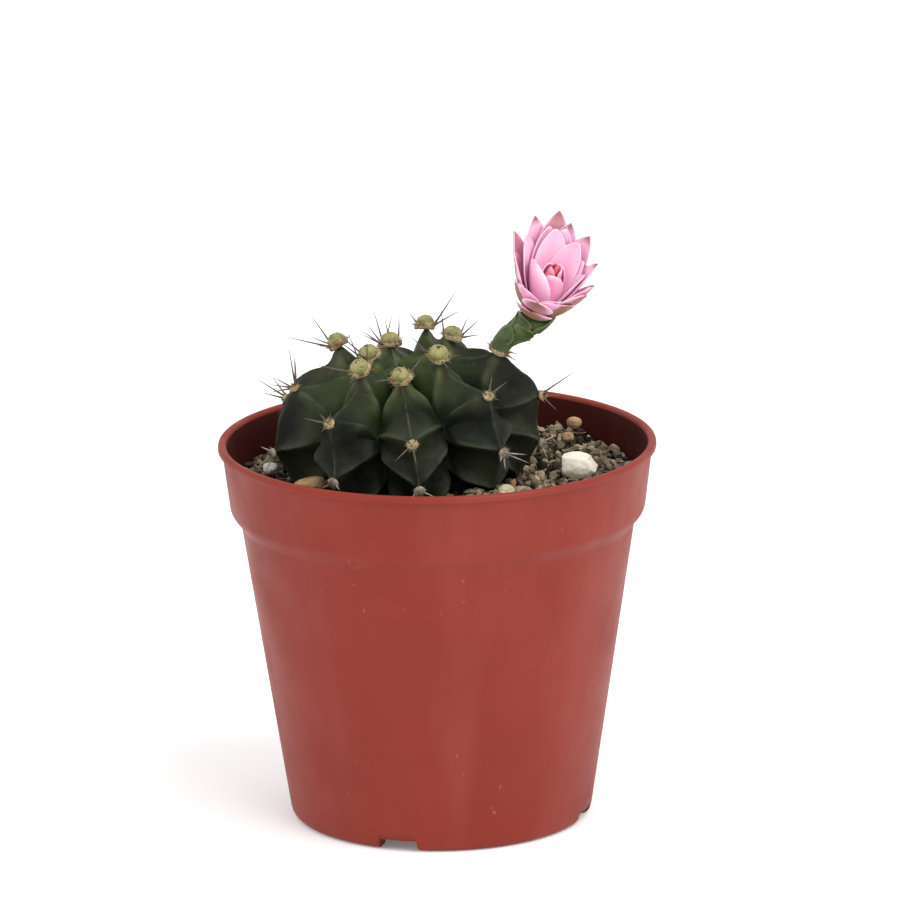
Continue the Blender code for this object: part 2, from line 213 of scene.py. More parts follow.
def add_piece(name, shape, *materials, closed=True, sharp=None):
    """Makes an object of a bmesh. A closed one gets its faces pointing out."""
    if closed:
        bmesh.ops.recalc_face_normals(shape, faces=shape.faces)
    mesh = bpy.data.meshes.new(name)
    shape.to_mesh(mesh)
    shape.free()
    mesh.shade_smooth()
    if sharp:
        mesh.set_sharp_from_angle(angle=math.radians(sharp))
    for material in materials:
        mesh.materials.append(material)
    made = bpy.data.objects.new(name, mesh)
    bpy.context.scene.collection.objects.link(made)
    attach(made, "root")
    return made


def new_group(name, inputs, outputs):
    """An empty node group: each input is (name, type, value), each output is (name, type)."""
    group = bpy.data.node_groups.new(name, "ShaderNodeTree")
    for socket, kind, value in inputs:
        made = group.interface.new_socket(socket, in_out="INPUT", socket_type=kind)
        if value is not None:
            made.default_value = value
    for socket, kind in outputs:
        group.interface.new_socket(socket, in_out="OUTPUT", socket_type=kind)
    return group, group.nodes.new("NodeGroupInput"), group.nodes.new("NodeGroupOutput")


def speckle_group():
    """Soft patches: a mask that goes from 0 to 1 where a noise passes from Low to High."""
    group, given, put = new_group(
        "speckle",
        (
            ("Vector", "NodeSocketVector", None),
            ("Scale", "NodeSocketFloat", 100),
            ("Detail", "NodeSocketFloat", 4),
            ("Low", "NodeSocketFloat", 0.4),
            ("High", "NodeSocketFloat", 0.6),
        ),
        (("Mask", "NodeSocketFloat"),),
    )
    wave = group.nodes.new("ShaderNodeTexNoise")
    ramp = group.nodes.new("ShaderNodeMapRange")
    for socket in ("Vector", "Scale", "Detail"):
        group.links.new(given.outputs[socket], wave.inputs[socket])
    group.links.new(wave.outputs["Fac"], ramp.inputs["Value"])
    group.links.new(given.outputs["Low"], ramp.inputs["From Min"])
    group.links.new(given.outputs["High"], ramp.inputs["From Max"])
    group.links.new(ramp.outputs["Result"], put.inputs["Mask"])
    return group


speckle = speckle_group()


class Finish:
    """A material on Object coordinates, to which colours, masks and bumps are added in layers."""

    def __init__(self, name, colour, roughness, specular=0.5):
        self.material = bpy.data.materials.new(name)
        self.material.use_nodes = True
        self.tree = self.material.node_tree
        self.shader = self.tree.nodes["Principled BSDF"]
        self.shader.inputs["Base Color"].default_value = (*colour, 1)
        self.shader.inputs["Roughness"].default_value = roughness
        self.shader.inputs["Specular IOR Level"].default_value = specular
        self.place = self.tree.nodes.new("ShaderNodeTexCoord").outputs["Object"]
        self.colour = None
        self.base = colour
        self.normal = None

    def stretched(self, scale, shift=(0, 0, 0)):
        mapping = self.tree.nodes.new("ShaderNodeMapping")
        mapping.inputs["Scale"].default_value = scale
        mapping.inputs["Location"].default_value = shift
        self.tree.links.new(self.place, mapping.inputs["Vector"])
        return mapping.outputs["Vector"]

    def patches(self, scale, low, high, detail=4, vector=None):
        node = self.tree.nodes.new("ShaderNodeGroup")
        node.node_tree = speckle
        self.tree.links.new(vector or self.place, node.inputs["Vector"])
        for socket, value in (("Scale", scale), ("Detail", detail), ("Low", low), ("High", high)):
            node.inputs[socket].default_value = value
        return node.outputs["Mask"]

    def attribute(self, name):
        node = self.tree.nodes.new("ShaderNodeAttribute")
        node.attribute_name = name
        return node.outputs["Fac"]

    def maths(self, operation, first, second):
        node = self.tree.nodes.new("ShaderNodeMath")
        node.operation = operation
        node.use_clamp = True
        for socket, value in zip(node.inputs, (first, second)):
            if isinstance(value, (int, float)):
                socket.default_value = value
            else:
                self.tree.links.new(value, socket)
        return node.outputs["Value"]

    def times(self, first, second):
        return self.maths("MULTIPLY", first, second)

    def ranged(self, value, from_low, from_high, to_low=0.0, to_high=1.0):
        node = self.tree.nodes.new("ShaderNodeMapRange")
        self.tree.links.new(value, node.inputs["Value"])
        limits = ("From Min", from_low), ("From Max", from_high), ("To Min", to_low), ("To Max", to_high)
        for socket, limit in limits:
            node.inputs[socket].default_value = limit
        return node.outputs["Result"]

    def layer(self, mask, colour, amount=1.0):
        """Lays a colour over the ones before, where the mask is 1."""
        node = self.tree.nodes.new("ShaderNodeMix")
        node.data_type = "RGBA"
        factor, below, above = node.inputs[0], node.inputs[6], node.inputs[7]
        self.tree.links.new(self.times(mask, amount) if amount != 1 else mask, factor)
        if self.colour:
            self.tree.links.new(self.colour, below)
        else:
            below.default_value = (*self.base, 1)
        above.default_value = (*colour, 1)
        self.colour = node.outputs[2]
        self.tree.links.new(self.colour, self.shader.inputs["Base Color"])

    def roughness(self, mask, low, high):
        self.tree.links.new(self.ranged(mask, 0, 1, low, high), self.shader.inputs["Roughness"])

    def bump(self, height, distance, strength=1.0):
        node = self.tree.nodes.new("ShaderNodeBump")
        node.inputs["Strength"].default_value = strength
        node.inputs["Distance"].default_value = distance
        self.tree.links.new(height, node.inputs["Height"])
        if self.normal:
            self.tree.links.new(self.normal, node.inputs["Normal"])
        self.normal = node.outputs["Normal"]
        self.tree.links.new(self.normal, self.shader.inputs["Normal"])


def pot_plastic(name, colour, pale, specular):
    """Matt plastic with cloudy patches, faint upright smears, pale scuffs and a fine grain."""
    plastic = Finish(name, colour, 0.5, specular)
    plastic.layer(plastic.patches(45, 0.35, 0.7), tuple(c * 0.86 for c in colour), 0.8)
    smears = plastic.patches(60, 0.5, 0.8, 6, plastic.stretched((1, 1, 0.12)))
    plastic.layer(smears, pale, 0.3)
    scuffs = plastic.patches(750, 0.69, 0.76, 8, plastic.stretched((1, 1, 0.5), (0.1, 0, 0)))
    worn = plastic.times(scuffs, plastic.patches(35, 0.5, 0.62))
    plastic.layer(worn, tuple(min(1, c * 1.6 + 0.1) for c in pale), 0.5)
    plastic.roughness(plastic.patches(90, 0.3, 0.7), 0.44, 0.6)
    plastic.bump(plastic.patches(1500, 0.2, 0.8, 2), 0.03 * MM, 0.5)
    plastic.bump(plastic.patches(70, 0.2, 0.8, 2), 0.25 * MM, 0.4)
    return plastic


def pot_path():
    lip_foot = POT_HEIGHT - LIP_HEIGHT
    inside_lip = wall_radius(POT_HEIGHT) - WALL
    bead = (RIM_RADIUS - inside_lip) * 0.49
    step_top = STEP_Z + STEP_HEIGHT
    foot_inside = FOOT_RADIUS - HEEL_RADIUS - FOOT_WIDTH
    return rounded(
        (
            (0, FLOOR_TOP, 0),
            (wall_radius(FLOOR_TOP) - WALL, FLOOR_TOP, 1.2 * MM),
            (wall_radius(STEP_Z) - WALL, STEP_Z, 0.8 * MM),
            (wall_radius(step_top) - WALL, step_top, 0.8 * MM),
            (inside_lip, POT_HEIGHT, bead),
            (RIM_RADIUS, POT_HEIGHT, bead),
            (RIM_RADIUS, lip_foot + LIP_PROUD / 2, 0.22 * MM),
            (wall_radius(lip_foot) - 0.12 * MM, lip_foot - 0.1 * MM, 0.2 * MM),
            (COLLAR_FOOT, step_top, 0.9 * MM),
            (WALL_TOP, STEP_Z, 0.7 * MM),
            (FOOT_RADIUS, 0, HEEL_RADIUS),
            (foot_inside, 0, 0.3 * MM),
            (foot_inside, FOOT_HEIGHT, 0.5 * MM),
            (0, FOOT_HEIGHT, 0),
        )
    )


def add_cutter(size, reach, height, turn, top_share):
    shape = bmesh.new()
    bmesh.ops.create_cube(shape, size=1)
    for vert in shape.verts:
        vert.co.x *= size[0] * (top_share if vert.co.z > 0 else 1)
        vert.co.y = vert.co.y * size[1] - reach
        vert.co.z = vert.co.z * size[2] + height
    bmesh.ops.rotate(shape, verts=shape.verts, matrix=Matrix.Rotation(math.radians(turn), 3, "Z"))
    mesh = bpy.data.meshes.new("cutter")
    shape.to_mesh(mesh)
    shape.free()
    made = bpy.data.objects.new("cutter", mesh)
    bpy.context.scene.collection.objects.link(made)
    return made


def cut(target, cutters):
    """Cuts the cutters out of a piece, then throws them away."""
    for cutter in cutters:
        modifier = target.modifiers.new("cut", "BOOLEAN")
        modifier.operation = "DIFFERENCE"
        modifier.object = cutter
    evaluated = target.evaluated_get(bpy.context.evaluated_depsgraph_get())
    before = target.data
    target.data = bpy.data.meshes.new_from_object(evaluated)
    target.data.name = before.name
    target.modifiers.clear()
    for cutter in cutters:
        bpy.data.objects.remove(cutter)


outer_plastic = pot_plastic("red_plastic", RED_PLASTIC, RED_PALE, 0.25)
# Second material: painted shade, a much darker copy of the same plastic for the inside of the pot.
inner_plastic_painted_shade = pot_plastic("red_plastic_inside_painted_shade", RED_INSIDE_PAINTED_SHADE, RED_PLASTIC, 0.12)
pot_shape = turned_shape(pot_path(), 192)
# Faces inside the pot, below the lip and down to its floor, take the painted-shade material.
for face in pot_shape.faces:
    middle = face.calc_center_median()
    reach = Vector(middle.xy).length
    below_lip = middle.z < POT_HEIGHT - 1.6 * MM
    face.material_index = int(below_lip and middle.z > FLOOR_TOP - 0.1 * MM
                              and reach < wall_radius(middle.z) - WALL / 2)
pot = add_piece("pot", pot_shape, outer_plastic.material, inner_plastic_painted_shade.material, sharp=50)
slots = []
for i in range(SLOTS):
    turn = SLOT_TURN + i * 360 / SLOTS
    slots.append(add_cutter(SLOT_SIZE, FOOT_RADIUS - 4 * MM, 0, turn, SLOT_TOP_SHARE))
    drain_reach = wall_radius(FLOOR_TOP) - WALL - DRAIN_SIZE[1] / 2 - 0.3 * MM
    slots.append(add_cutter(DRAIN_SIZE, drain_reach, 4.2 * MM, turn, 1))
cut(pot, slots)
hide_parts("nursery_pot")


# Cactus body: it grew in one piece, with nine ribs round a sunken crown. Each rib has a thin pale
# crest line, and a swollen band runs from each areole up to the furrows, hollow just under it.

PLANT_OFFSET = -6.0 * MM
PLANT_ABOVE_RIM = 5.3 * MM
LEAN_LEFT = 8
LEAN_FORWARD = 3.5
BODY_RADIUS = 25.6 * MM
CROWN_HEIGHT = 10.4 * MM
UNDERSIDE_HEIGHT = 20.5 * MM
CROWN_SQUARENESS = 3.0
UNDERSIDE_SQUARENESS = 2.5
FURROW_DEPTH = 7.0 * MM
BUMP_SPREAD = 3.0 * MM
NECK_SPREAD = 2.6 * MM
COLUMNS = 40
ROWS = 256
SKIN_DARK = (0.0062, 0.0072, 0.0048)
SKIN_GREY = (0.016, 0.0195, 0.013)
SKIN_GREEN = (0.056, 0.082, 0.022)
SKIN_OLIVE = (0.034, 0.038, 0.020)
SKIN_LOBE = (0.125, 0.150, 0.048)
SKIN_BAND = (0.056, 0.070, 0.042)
SKIN_CREST = (0.105, 0.118, 0.078)
SKIN_BLUSH = (0.038, 0.014, 0.010)

# Each rib: its letter, its turn, and its areoles from the crown down. An areole has a latitude,
# the height in mm of its bump, and how far in mm the band beside it climbs to the furrow.
RIBS = (
    ("a", -77, ((85, 2.1, 1.0), (46, 1.1, 1.6), (-3, 0.8, 2.6))),
    ("b", -34, ((72, 2.7, -3.0), (26, 1.1, 1.8), (-8, 0.8, 4.0))),
    ("c", 3, ((68, 1.4, -3.6), (6, 1.1, 2.9), (-15, 0.8, 6.0))),
    ("d", 43, ((72, 2.6, -3.6), (26, 1.1, 1.8), (-8, 0.8, 3.6))),
    ("e", 83, ((50, 1.6, 1.0), (1, 0.7, 0.6), (-20, 0.8, 4.6))),
    ("f", 118, ((71, 2.7, 1.0), (6, 1.1, 2.0), (-16, 0.8, 4.0))),
    ("g", 149, ((73, 3.1, 1.0), (3, 1.1, 2.0), (-10, 0.8, 4.0))),
    ("i", 187, ((78, 0.7, 1.0), (20, 1.1, 2.0), (-12, 0.8, 4.0))),
    ("h", 238, ((70, 3.3, 1.0), (4, 1.1, 2.4), (-15, 0.8, 4.0))),
)

plant_axes = Matrix.LocRotScale(
    Vector((PLANT_OFFSET, 0, POT_HEIGHT + PLANT_ABOVE_RIM)),
    Matrix.Rotation(math.radians(-LEAN_LEFT), 3, "Y") @ Matrix.Rotation(math.radians(LEAN_FORWARD), 3, "X"),
    None,
)


def crest_point(latitude):
    """Distance from the axis and height of a plain crest at a latitude, which is 90 at the crown."""
    angle = math.radians(latitude)
    above = latitude > 0
    power = 2 / (CROWN_SQUARENESS if above else UNDERSIDE_SQUARENESS)
    half_height = CROWN_HEIGHT if above else UNDERSIDE_HEIGHT
    reach = BODY_RADIUS * abs(math.cos(angle)) ** power
    return Vector((reach, math.copysign(half_height * abs(math.sin(angle)) ** power, latitude)))


def crest_slope(latitude):
    """Outward direction (reach, height) at right angles to the crest."""
    along = crest_point(latitude + 1) - crest_point(latitude - 1)
    return Vector((along.y, -along.x)).normalized()


# The crest's length from the crown down to each latitude, to space rows and bands evenly.
LATITUDES = [90 - i / 4 for i in range(721)]
crest_runs = [0.0]
for high, low in zip(LATITUDES, LATITUDES[1:]):
    crest_runs.append(crest_runs[-1] + (crest_point(high) - crest_point(low)).length)


def run_at(latitude):
    return crest_runs[round((90 - latitude) * 4)]


def latitude_at(run):
    place = max(1, min(len(crest_runs) - 1, next(
        (i for i, far in enumerate(crest_runs) if far >= run), len(crest_runs) - 1)))
    near, far = crest_runs[place - 1], crest_runs[place]
    return LATITUDES[place - 1] - (run - near) / (far - near) / 4


def rib_at(column):
    """Rib, turn, half the rib's angle and distance from its crest (0) to the furrow (1)."""
    below = math.floor(column) % len(RIBS)
    share = column - math.floor(column)
    above = (below + 1) % len(RIBS)
    start = RIBS[below][1]
    span = (RIBS[above][1] - start) % 360
    nearest = below if share < 0.5 else above
    return RIBS[nearest], start + span * share, math.radians(span / 2), 2 * min(share, 1 - share)


def band_place(areoles, run, share):
    """How far below a band a point lies: the distance to the band in mm, and its share of the way down."""
    edges = [run_at(latitude) / MM - climb * share**0.85 for latitude, _, climb in areoles]
    edges.append(edges[-1] + 9)
    edges.append(edges[-1] + 9)
    here = run / MM
    nearest = min(abs(here - edge) for edge in edges)
    if here < edges[0]:
        return nearest, 1.0, 0
    for level, (high, low) in enumerate(zip(edges, edges[1:])):
        if here < low:
            return nearest, (here - high) / (low - high), level
    return nearest, 1.0, 2


SAG_POWER = 0.55
SAG_PEAK = (SAG_POWER / (1 + SAG_POWER)) ** SAG_POWER / (1 + SAG_POWER)
SAGS = (0.9, 1.6, 2.0)
RIB_SIZES = {"f": 0.88}  # the flowering rib's neighbour behind stayed smaller


def body_point(column, latitude, run):
    """A point of the skin in the plant's frame, and its crest, band, young and blush marks."""
    (letter, _, areoles), turn, half_angle, share = rib_at(column)
    reach, height = crest_point(latitude)
    plain = reach * (1 - (1 - RIB_SIZES.get(letter, 1)) * (1 - share))
    slope = crest_slope(latitude)
    furrow = min(FURROW_DEPTH, 0.6 * plain)
    nearest, fall, level = band_place(areoles, run, share)
    sag = fall**SAG_POWER * (1 - fall) / SAG_PEAK
    swell = math.exp(-((nearest / 1.5) ** 2))
    narrow = share + (0.10 * sag - 0.24 * swell) * share * (1 - share**6)
    depth = 0.36 * narrow**0.85 + 0.40 * narrow**3 + 0.24 * narrow**10
    out = 0.0
    flush = 0.0
    for place, bump, _ in areoles:
        away = abs(run_at(place) - run)
        near = math.exp(-((away / (BUMP_SPREAD if bump < 1.3 else NECK_SPREAD)) ** 2))
        out += bump * MM * near * (1 - share) ** 1.2
        below = (run - run_at(place)) / MM
        flush = max(flush, math.exp(-(((below - 1.5) / 2.2) ** 2)) * math.exp(-((share / 0.35) ** 2)))
    flank = 0.25 + 0.75 * min(1, share / 0.3)
    out -= SAGS[min(level, 2)] * MM * sag * flank * (1 - 0.7 * share**5) * min(1, plain / (8 * MM))
    side = share * half_angle * plain / MM
    crest = math.exp(-((side / 0.22) ** 2)) * min(1, plain / (6 * MM))
    ridge = math.exp(-((nearest / 0.9) ** 2)) * min(1, share / 0.15) * (1 - share**4)
    out += (0.18 * crest + 0.45 * ridge) * MM
    out -= furrow * depth
    point = towards(turn, plain + out * slope.x, height + out * slope.y)
    rough = noise.noise(point * 900) * 0.08 + noise.noise(point * 260) * 0.36
    point += point.normalized() * rough * MM
    band = math.exp(-((nearest / 0.85) ** 2)) * (0.25 + 0.75 * min(1, share / 0.2)) * (1 - share**6)
    young = max(0, 1 - run / (24 * MM))
    return point, (crest, band, young, flush * max(0, 1 - run / (26 * MM)))


def body_shape():
    """A round cage, pulled out into ribs, with closer columns near the crests."""
    shape = bmesh.new()
    marks = [shape.verts.layers.float.new(name) for name in ("crest", "band", "young", "blush")]
    bmesh.ops.create_uvsphere(shape, u_segments=COLUMNS * len(RIBS), v_segments=ROWS, radius=1)
    half = COLUMNS / 2
    buried = run_at(-30)
    shown_rows = ROWS * 0.8
    rows = {}
    for vert in shape.verts:
        row = round((0.5 - math.asin(max(-1, min(1, vert.co.z))) / math.pi) * ROWS)
        if row not in rows:
            run = buried * row / shown_rows
            if row > shown_rows:
                run = buried + (crest_runs[-1] - buried) * (row - shown_rows) / (ROWS - shown_rows)
            rows[row] = run, latitude_at(run)
        run, latitude = rows[row]
        step = round(math.atan2(vert.co.x, -vert.co.y) / math.tau * COLUMNS * len(RIBS))
        rib, place = divmod(step, COLUMNS)
        if place <= half:
            share = (place / half) ** 1.5 / 2
        else:
            share = 1 - ((COLUMNS - place) / half) ** 1.5 / 2
        vert.co, values = body_point(rib + share, latitude, run)
        for mark, value in zip(marks, values):
            vert[mark] = value
    bmesh.ops.transform(shape, matrix=plant_axes, verts=shape.verts)
    return shape


def body_skin():
    skin = Finish("cactus_skin", SKIN_DARK, 0.5, 0.1)
    skin.layer(skin.patches(160, 0.38, 0.68), SKIN_GREY, 0.5)
    skin.layer(skin.patches(75, 0.48, 0.66, 5), SKIN_OLIVE, 0.7)
    young = skin.times(skin.attribute("young"), skin.patches(120, 0.25, 0.6))
    skin.layer(young, SKIN_GREEN, 0.95)
    skin.layer(skin.attribute("blush"), SKIN_BLUSH, 0.9)
    skin.layer(skin.times(skin.attribute("band"), skin.patches(300, 0.25, 0.65)), SKIN_BAND, 0.65)
    lobe = skin.times(skin.times(skin.attribute("band"), skin.attribute("young")), skin.patches(420, 0.3, 0.6))
    skin.layer(lobe, SKIN_LOBE, 1.0)
    skin.layer(skin.times(skin.attribute("young"), skin.patches(650, 0.58, 0.7)), SKIN_LOBE, 0.35)
    skin.layer(skin.times(skin.attribute("crest"), skin.patches(350, 0.35, 0.65)), SKIN_CREST, 0.5)
    skin.roughness(skin.patches(500, 0.3, 0.7), 0.42, 0.62)
    skin.bump(skin.patches(2200, 0.2, 0.8, 3), 0.06 * MM, 0.6)
    skin.bump(skin.patches(600, 0.2, 0.8, 4), 0.12 * MM, 0.5)
    return skin


body_form = body_shape()
body_tree = BVHTree.FromBMesh(body_form)
body = add_piece("cactus", body_form, body_skin().material)
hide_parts("cactus_body")


# Potting mix: crushed pumice, bark and a little lava, poured round the plant to some way under
# the rim. The bed carries loose grains of five kinds and some root fibres.

SOIL_DROP = 7.9 * MM
SOIL_MOUND = 1.0 * MM
SOIL_TOP = POT_HEIGHT - SOIL_DROP
SOIL_EDGE = wall_radius(SOIL_TOP) - WALL - 0.3 * MM
GRAIN_KINDS = (
    ("pumice_pale", (0.42, 0.34, 0.23), 0.28),
    ("pumice_grey", (0.19, 0.15, 0.098), 0.36),
    ("bark", (0.060, 0.040, 0.025), 0.22),
    ("amber_grit", (0.40, 0.24, 0.10), 0.08),
    ("lava", (0.018, 0.015, 0.012), 0.08),
)
GRAIN_SHAPES = 12
rng = random.Random(11)


def soil_height(x, y):
    share = max(0, 1 - math.hypot(x, y) / SOIL_EDGE)
    swell = noise.noise(Vector((x, y, 0)) * 90) * 0.7 * MM
    piled = math.exp(-(((x - 24 * MM) / (12 * MM)) ** 2 + ((y - 26 * MM) / (10 * MM)) ** 2))
    pushed = math.exp(-(((x - 12 * MM) / (9 * MM)) ** 2 + ((y + 21 * MM) / (6 * MM)) ** 2))
    return SOIL_TOP + SOIL_MOUND * share + swell + (1.5 * piled + 1.0 * pushed) * MM


def mix_finish(name, colour, deep):
    """Porous grain: cloudy, pitted and dusty."""
    grain = Finish(name, colour, 0.92, 0.2)
    grain.layer(grain.patches(380, 0.4, 0.65, 6), tuple(c * deep for c in colour), 0.9)
    grain.layer(grain.patches(900, 0.56, 0.66, 3), tuple(min(1, c * 1.35 + 0.02) for c in colour), 0.6)
    grain.layer(grain.patches(1800, 0.62, 0.7, 2), tuple(c * 0.35 for c in colour), 0.7)
    grain.bump(grain.patches(1500, 0.25, 0.75, 6), 0.25 * MM, 0.9)
    return grain.material


def grain_mesh(index):
    """An angular grain about 1 mm in radius: a ball with random flats."""
    shape = bmesh.new()
    bmesh.ops.create_icosphere(shape, subdivisions=2, radius=1)
    flats = [Vector([rng.gauss(0, 1) for _ in range(3)]).normalized() for _ in range(7)]
    depths = [rng.uniform(0.5, 0.85) for _ in flats]
    squash = Vector((rng.uniform(0.75, 1.25), rng.uniform(0.7, 1.0), rng.uniform(0.5, 0.85)))
    for vert in shape.verts:
        for flat, depth in zip(flats, depths):
            over = vert.co.dot(flat) - depth
            if over > 0:
                vert.co -= flat * over
        vert.co *= 1 + 0.16 * noise.noise(vert.co * 2.2 + Vector((index * 7, 0, 0)))
        vert.co = vert.co * squash * MM
    mesh = bpy.data.meshes.new(f"grain_{index}")
    shape.to_mesh(mesh)
    shape.free()
    return mesh


grain_meshes = [grain_mesh(i) for i in range(GRAIN_SHAPES)]


def scatter(shape, mesh, kind, place, size, turned):
    """Adds one copy of a grain to a bmesh."""
    matrix = Matrix.LocRotScale(place, turned, Vector((size, size, size)))
    mesh.polygons.foreach_set("material_index", [kind] * len(mesh.polygons))
    mesh.transform(matrix)
    shape.from_mesh(mesh)
    mesh.transform(matrix.inverted())


def random_turn():
    return Matrix.Rotation(rng.uniform(0, math.tau), 3, Vector([rng.gauss(0, 1) for _ in range(3)]))


def clear_of_body(place, room):
    near, normal, _, distance = body_tree.find_nearest(place)
    return distance > room and (place - near).dot(normal) > 0


def pick_kind():
    pick = rng.random()
    for kind, (_, _, share) in enumerate(GRAIN_KINDS):
        pick -= share
        if pick < 0:
            return kind
    return 1


def grit_shape(count, smallest, largest, lift, spacing):
    """Grains thrown on the bed at random, each some way from the ones before."""
    shape = bmesh.new()
    cells = {}
    cell = spacing
    for _ in range(count * 8):
        reach = SOIL_EDGE * math.sqrt(rng.random())
        size = rng.uniform(smallest, largest)
        if reach > SOIL_EDGE - size * 0.6 * MM:
            continue
        place = towards(rng.uniform(0, 360), reach)
        key = (round(place.x / cell), round(place.y / cell))
        if key in cells:
            continue
        place.z = soil_height(place.x, place.y) + lift * size * MM
        if not clear_of_body(place, 0.7 * size * MM):
            continue
        cells[key] = True
        scatter(shape, rng.choice(grain_meshes), pick_kind(), place, size, random_turn())
        if len(cells) >= count:
            break
    return shape


def bed_shape():
    edge = SOIL_EDGE
    path = rounded(
        (
            (0, FLOOR_TOP + 0.3 * MM, 0),
            (wall_radius(FLOOR_TOP) - WALL - 0.4 * MM, FLOOR_TOP + 0.3 * MM, 1.2 * MM),
            (wall_radius(STEP_Z) - WALL - 0.4 * MM, STEP_Z, 0.5 * MM),
            (wall_radius(STEP_Z + STEP_HEIGHT) - WALL - 0.4 * MM, STEP_Z + STEP_HEIGHT, 0.5 * MM),
            (edge, SOIL_TOP, 0.3 * MM),
            (0, SOIL_TOP, 0),
        ),
        spacing=1.2 * MM,
    )
    shape = turned_shape(path, 128)
    for vert in shape.verts:
        if vert.co.z > SOIL_TOP - 0.5 * MM:
            vert.co.z = soil_height(vert.co.x, vert.co.y) - 0.3 * MM
    return shape


mix_materials = [mix_finish(name, colour, 0.55) for name, colour, _ in GRAIN_KINDS]
bed = add_piece("potting_bed", bed_shape(), mix_finish("mix_dust", (0.028, 0.021, 0.015), 0.4))
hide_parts("potting_mix")
fine_grit = add_piece("fine_grit", grit_shape(2400, 0.42, 0.92, 0.05, 1.04 * MM), *mix_materials, sharp=35)
coarse_grit = add_piece("coarse_grit", grit_shape(420, 0.75, 1.4, 0.6, 2.2 * MM), *mix_materials, sharp=35)


def fibre_mesh():
    """A limp root fibre, 1 mm long, along +X."""
    shape = bmesh.new()
    made = bmesh.ops.create_cone(
        shape, segments=5, radius1=0.03 * MM, radius2=0.012 * MM, depth=MM, cap_ends=True,
        matrix=Matrix.Rotation(math.radians(90), 4, "Y"),
    )
    long_edges = [edge for edge in shape.edges if edge.calc_length() > 0.5 * MM]
    bmesh.ops.subdivide_edges(shape, edges=long_edges, cuts=7)
    mesh = bpy.data.meshes.new("fibre")
    shape.to_mesh(mesh)
    shape.free()
    return mesh


def fibres_shape(count):
    shape = bmesh.new()
    plain = fibre_mesh()
    for index in range(count):
        reach = SOIL_EDGE * math.sqrt(rng.uniform(0.3, 0.9))
        place = towards(rng.uniform(0, 360), reach)
        place.z = soil_height(place.x, place.y) + rng.uniform(0.8, 1.6) * MM
        length = rng.uniform(4, 9)
        if not clear_of_body(place, length * 0.4 * MM) or reach > SOIL_EDGE - length * 0.45 * MM:
            continue
        mesh = plain.copy()
        for vert in mesh.vertices:
            along = vert.co.x / MM
            vert.co.y += 0.12 * MM * math.sin(along * 5 + index)
            vert.co.z += 0.06 * MM * math.sin(along * 7 + 2 * index)
        turned = Matrix.Rotation(rng.uniform(0, math.tau), 3, "Z")
        scale = Vector((length, rng.uniform(2, 4), rng.uniform(2, 3.5)))
        mesh.transform(Matrix.LocRotScale(place, turned, None) @ Matrix.Diagonal((*scale, 1)))
        shape.from_mesh(mesh)
        bpy.data.meshes.remove(mesh)
    return shape


fibre_finish = mix_finish("root_fibre", (0.34, 0.27, 0.18), 0.6)
fibres = add_piece("root_fibres", fibres_shape(130), fibre_finish)


# Pumice stone: the largest loose stone, a white lump with flat broken sides, which only lies
# on the mix. A few smaller tan and ochre stones lie about the rim.

PUMICE = (0.92, 0.85, 0.73)


def stone_shape(low, high, seed, flats=9, fineness=5):
    """A broken stone that fills the space between two corners."""
    own = random.Random(seed)
    shape = bmesh.new()
    bmesh.ops.create_icosphere(shape, subdivisions=fineness, radius=1)
    cuts = [(Vector([own.gauss(0, 1) for _ in range(3)]).normalized(), own.uniform(0.55, 0.85))
            for _ in range(flats)]
    for vert in shape.verts:
        for flat, depth in cuts:
            over = vert.co.dot(flat) - depth
            if over > 0:
                vert.co -= flat * over * 0.92
        vert.co *= 1 + 0.05 * noise.noise(vert.co * 2) + 0.03 * noise.noise(vert.co * 6)
        vert.co *= 1 + 0.012 * noise.noise(vert.co * 18)
    for _ in range(2):
        bmesh.ops.smooth_vert(shape, verts=shape.verts, factor=0.5, use_axis_x=True, use_axis_y=True, use_axis_z=True)
    ends = [(min(v.co[i] for v in shape.verts), max(v.co[i] for v in shape.verts)) for i in range(3)]
    for vert in shape.verts:
        for i, (least, most) in enumerate(ends):
            vert.co[i] = low[i] + (high[i] - low[i]) * (vert.co[i] - least) / (most - least)
    return shape


stone_finish = Finish("pumice", PUMICE, 0.85, 0.25)
stone_finish.layer(stone_finish.patches(220, 0.45, 0.7, 5), (0.66, 0.57, 0.45), 0.7)
stone_finish.layer(stone_finish.patches(500, 0.64, 0.7, 3), (0.24, 0.19, 0.17), 0.6)
stone_finish.layer(stone_finish.patches(160, 0.62, 0.75, 3), (0.80, 0.58, 0.52), 0.5)
stone_finish.bump(stone_finish.patches(900, 0.2, 0.8, 6), 0.2 * MM, 0.8)
stone = add_piece("white_stone", stone_shape(*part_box("pumice_stone"), 5), stone_finish.material)
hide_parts("pumice_stone")

# The smaller stones: name, middle, half size, and colour.
SMALL_STONES = (
    ("ochre_stone", (-24.5, -13.6, 69.6), (3.3, 2.3, 1.7), (0.50, 0.32, 0.16)),
    ("amber_stone", (26.9, 24.0, 71.3), (1.5, 1.2, 1.25), (0.47, 0.31, 0.17)),
    ("tan_stone", (25.6, 17.6, 70.2), (1.2, 1.0, 1.0), (0.42, 0.27, 0.15)),
    ("chalk_bit", (-32.4, 1.5, 68.9), (1.5, 1.3, 1.2), (0.78, 0.74, 0.66)),
    ("cream_lump", (13.2, -18.6, 69.4), (1.7, 1.5, 1.3), (0.66, 0.58, 0.40)),
)
for seed, (name, middle, half, colour) in enumerate(SMALL_STONES, 21):
    middle, half = Vector(middle) * MM, Vector(half) * MM
    small = add_piece(name, stone_shape(middle - half, middle + half, seed, 7, 3),
                      mix_finish(name, colour, 0.7))


# Areoles: felt cushions on the rib crests, three to a rib. The crown ones are cups round the
# flower buds. Each carries a few stiff spines, dark at the root and grey towards the tip.

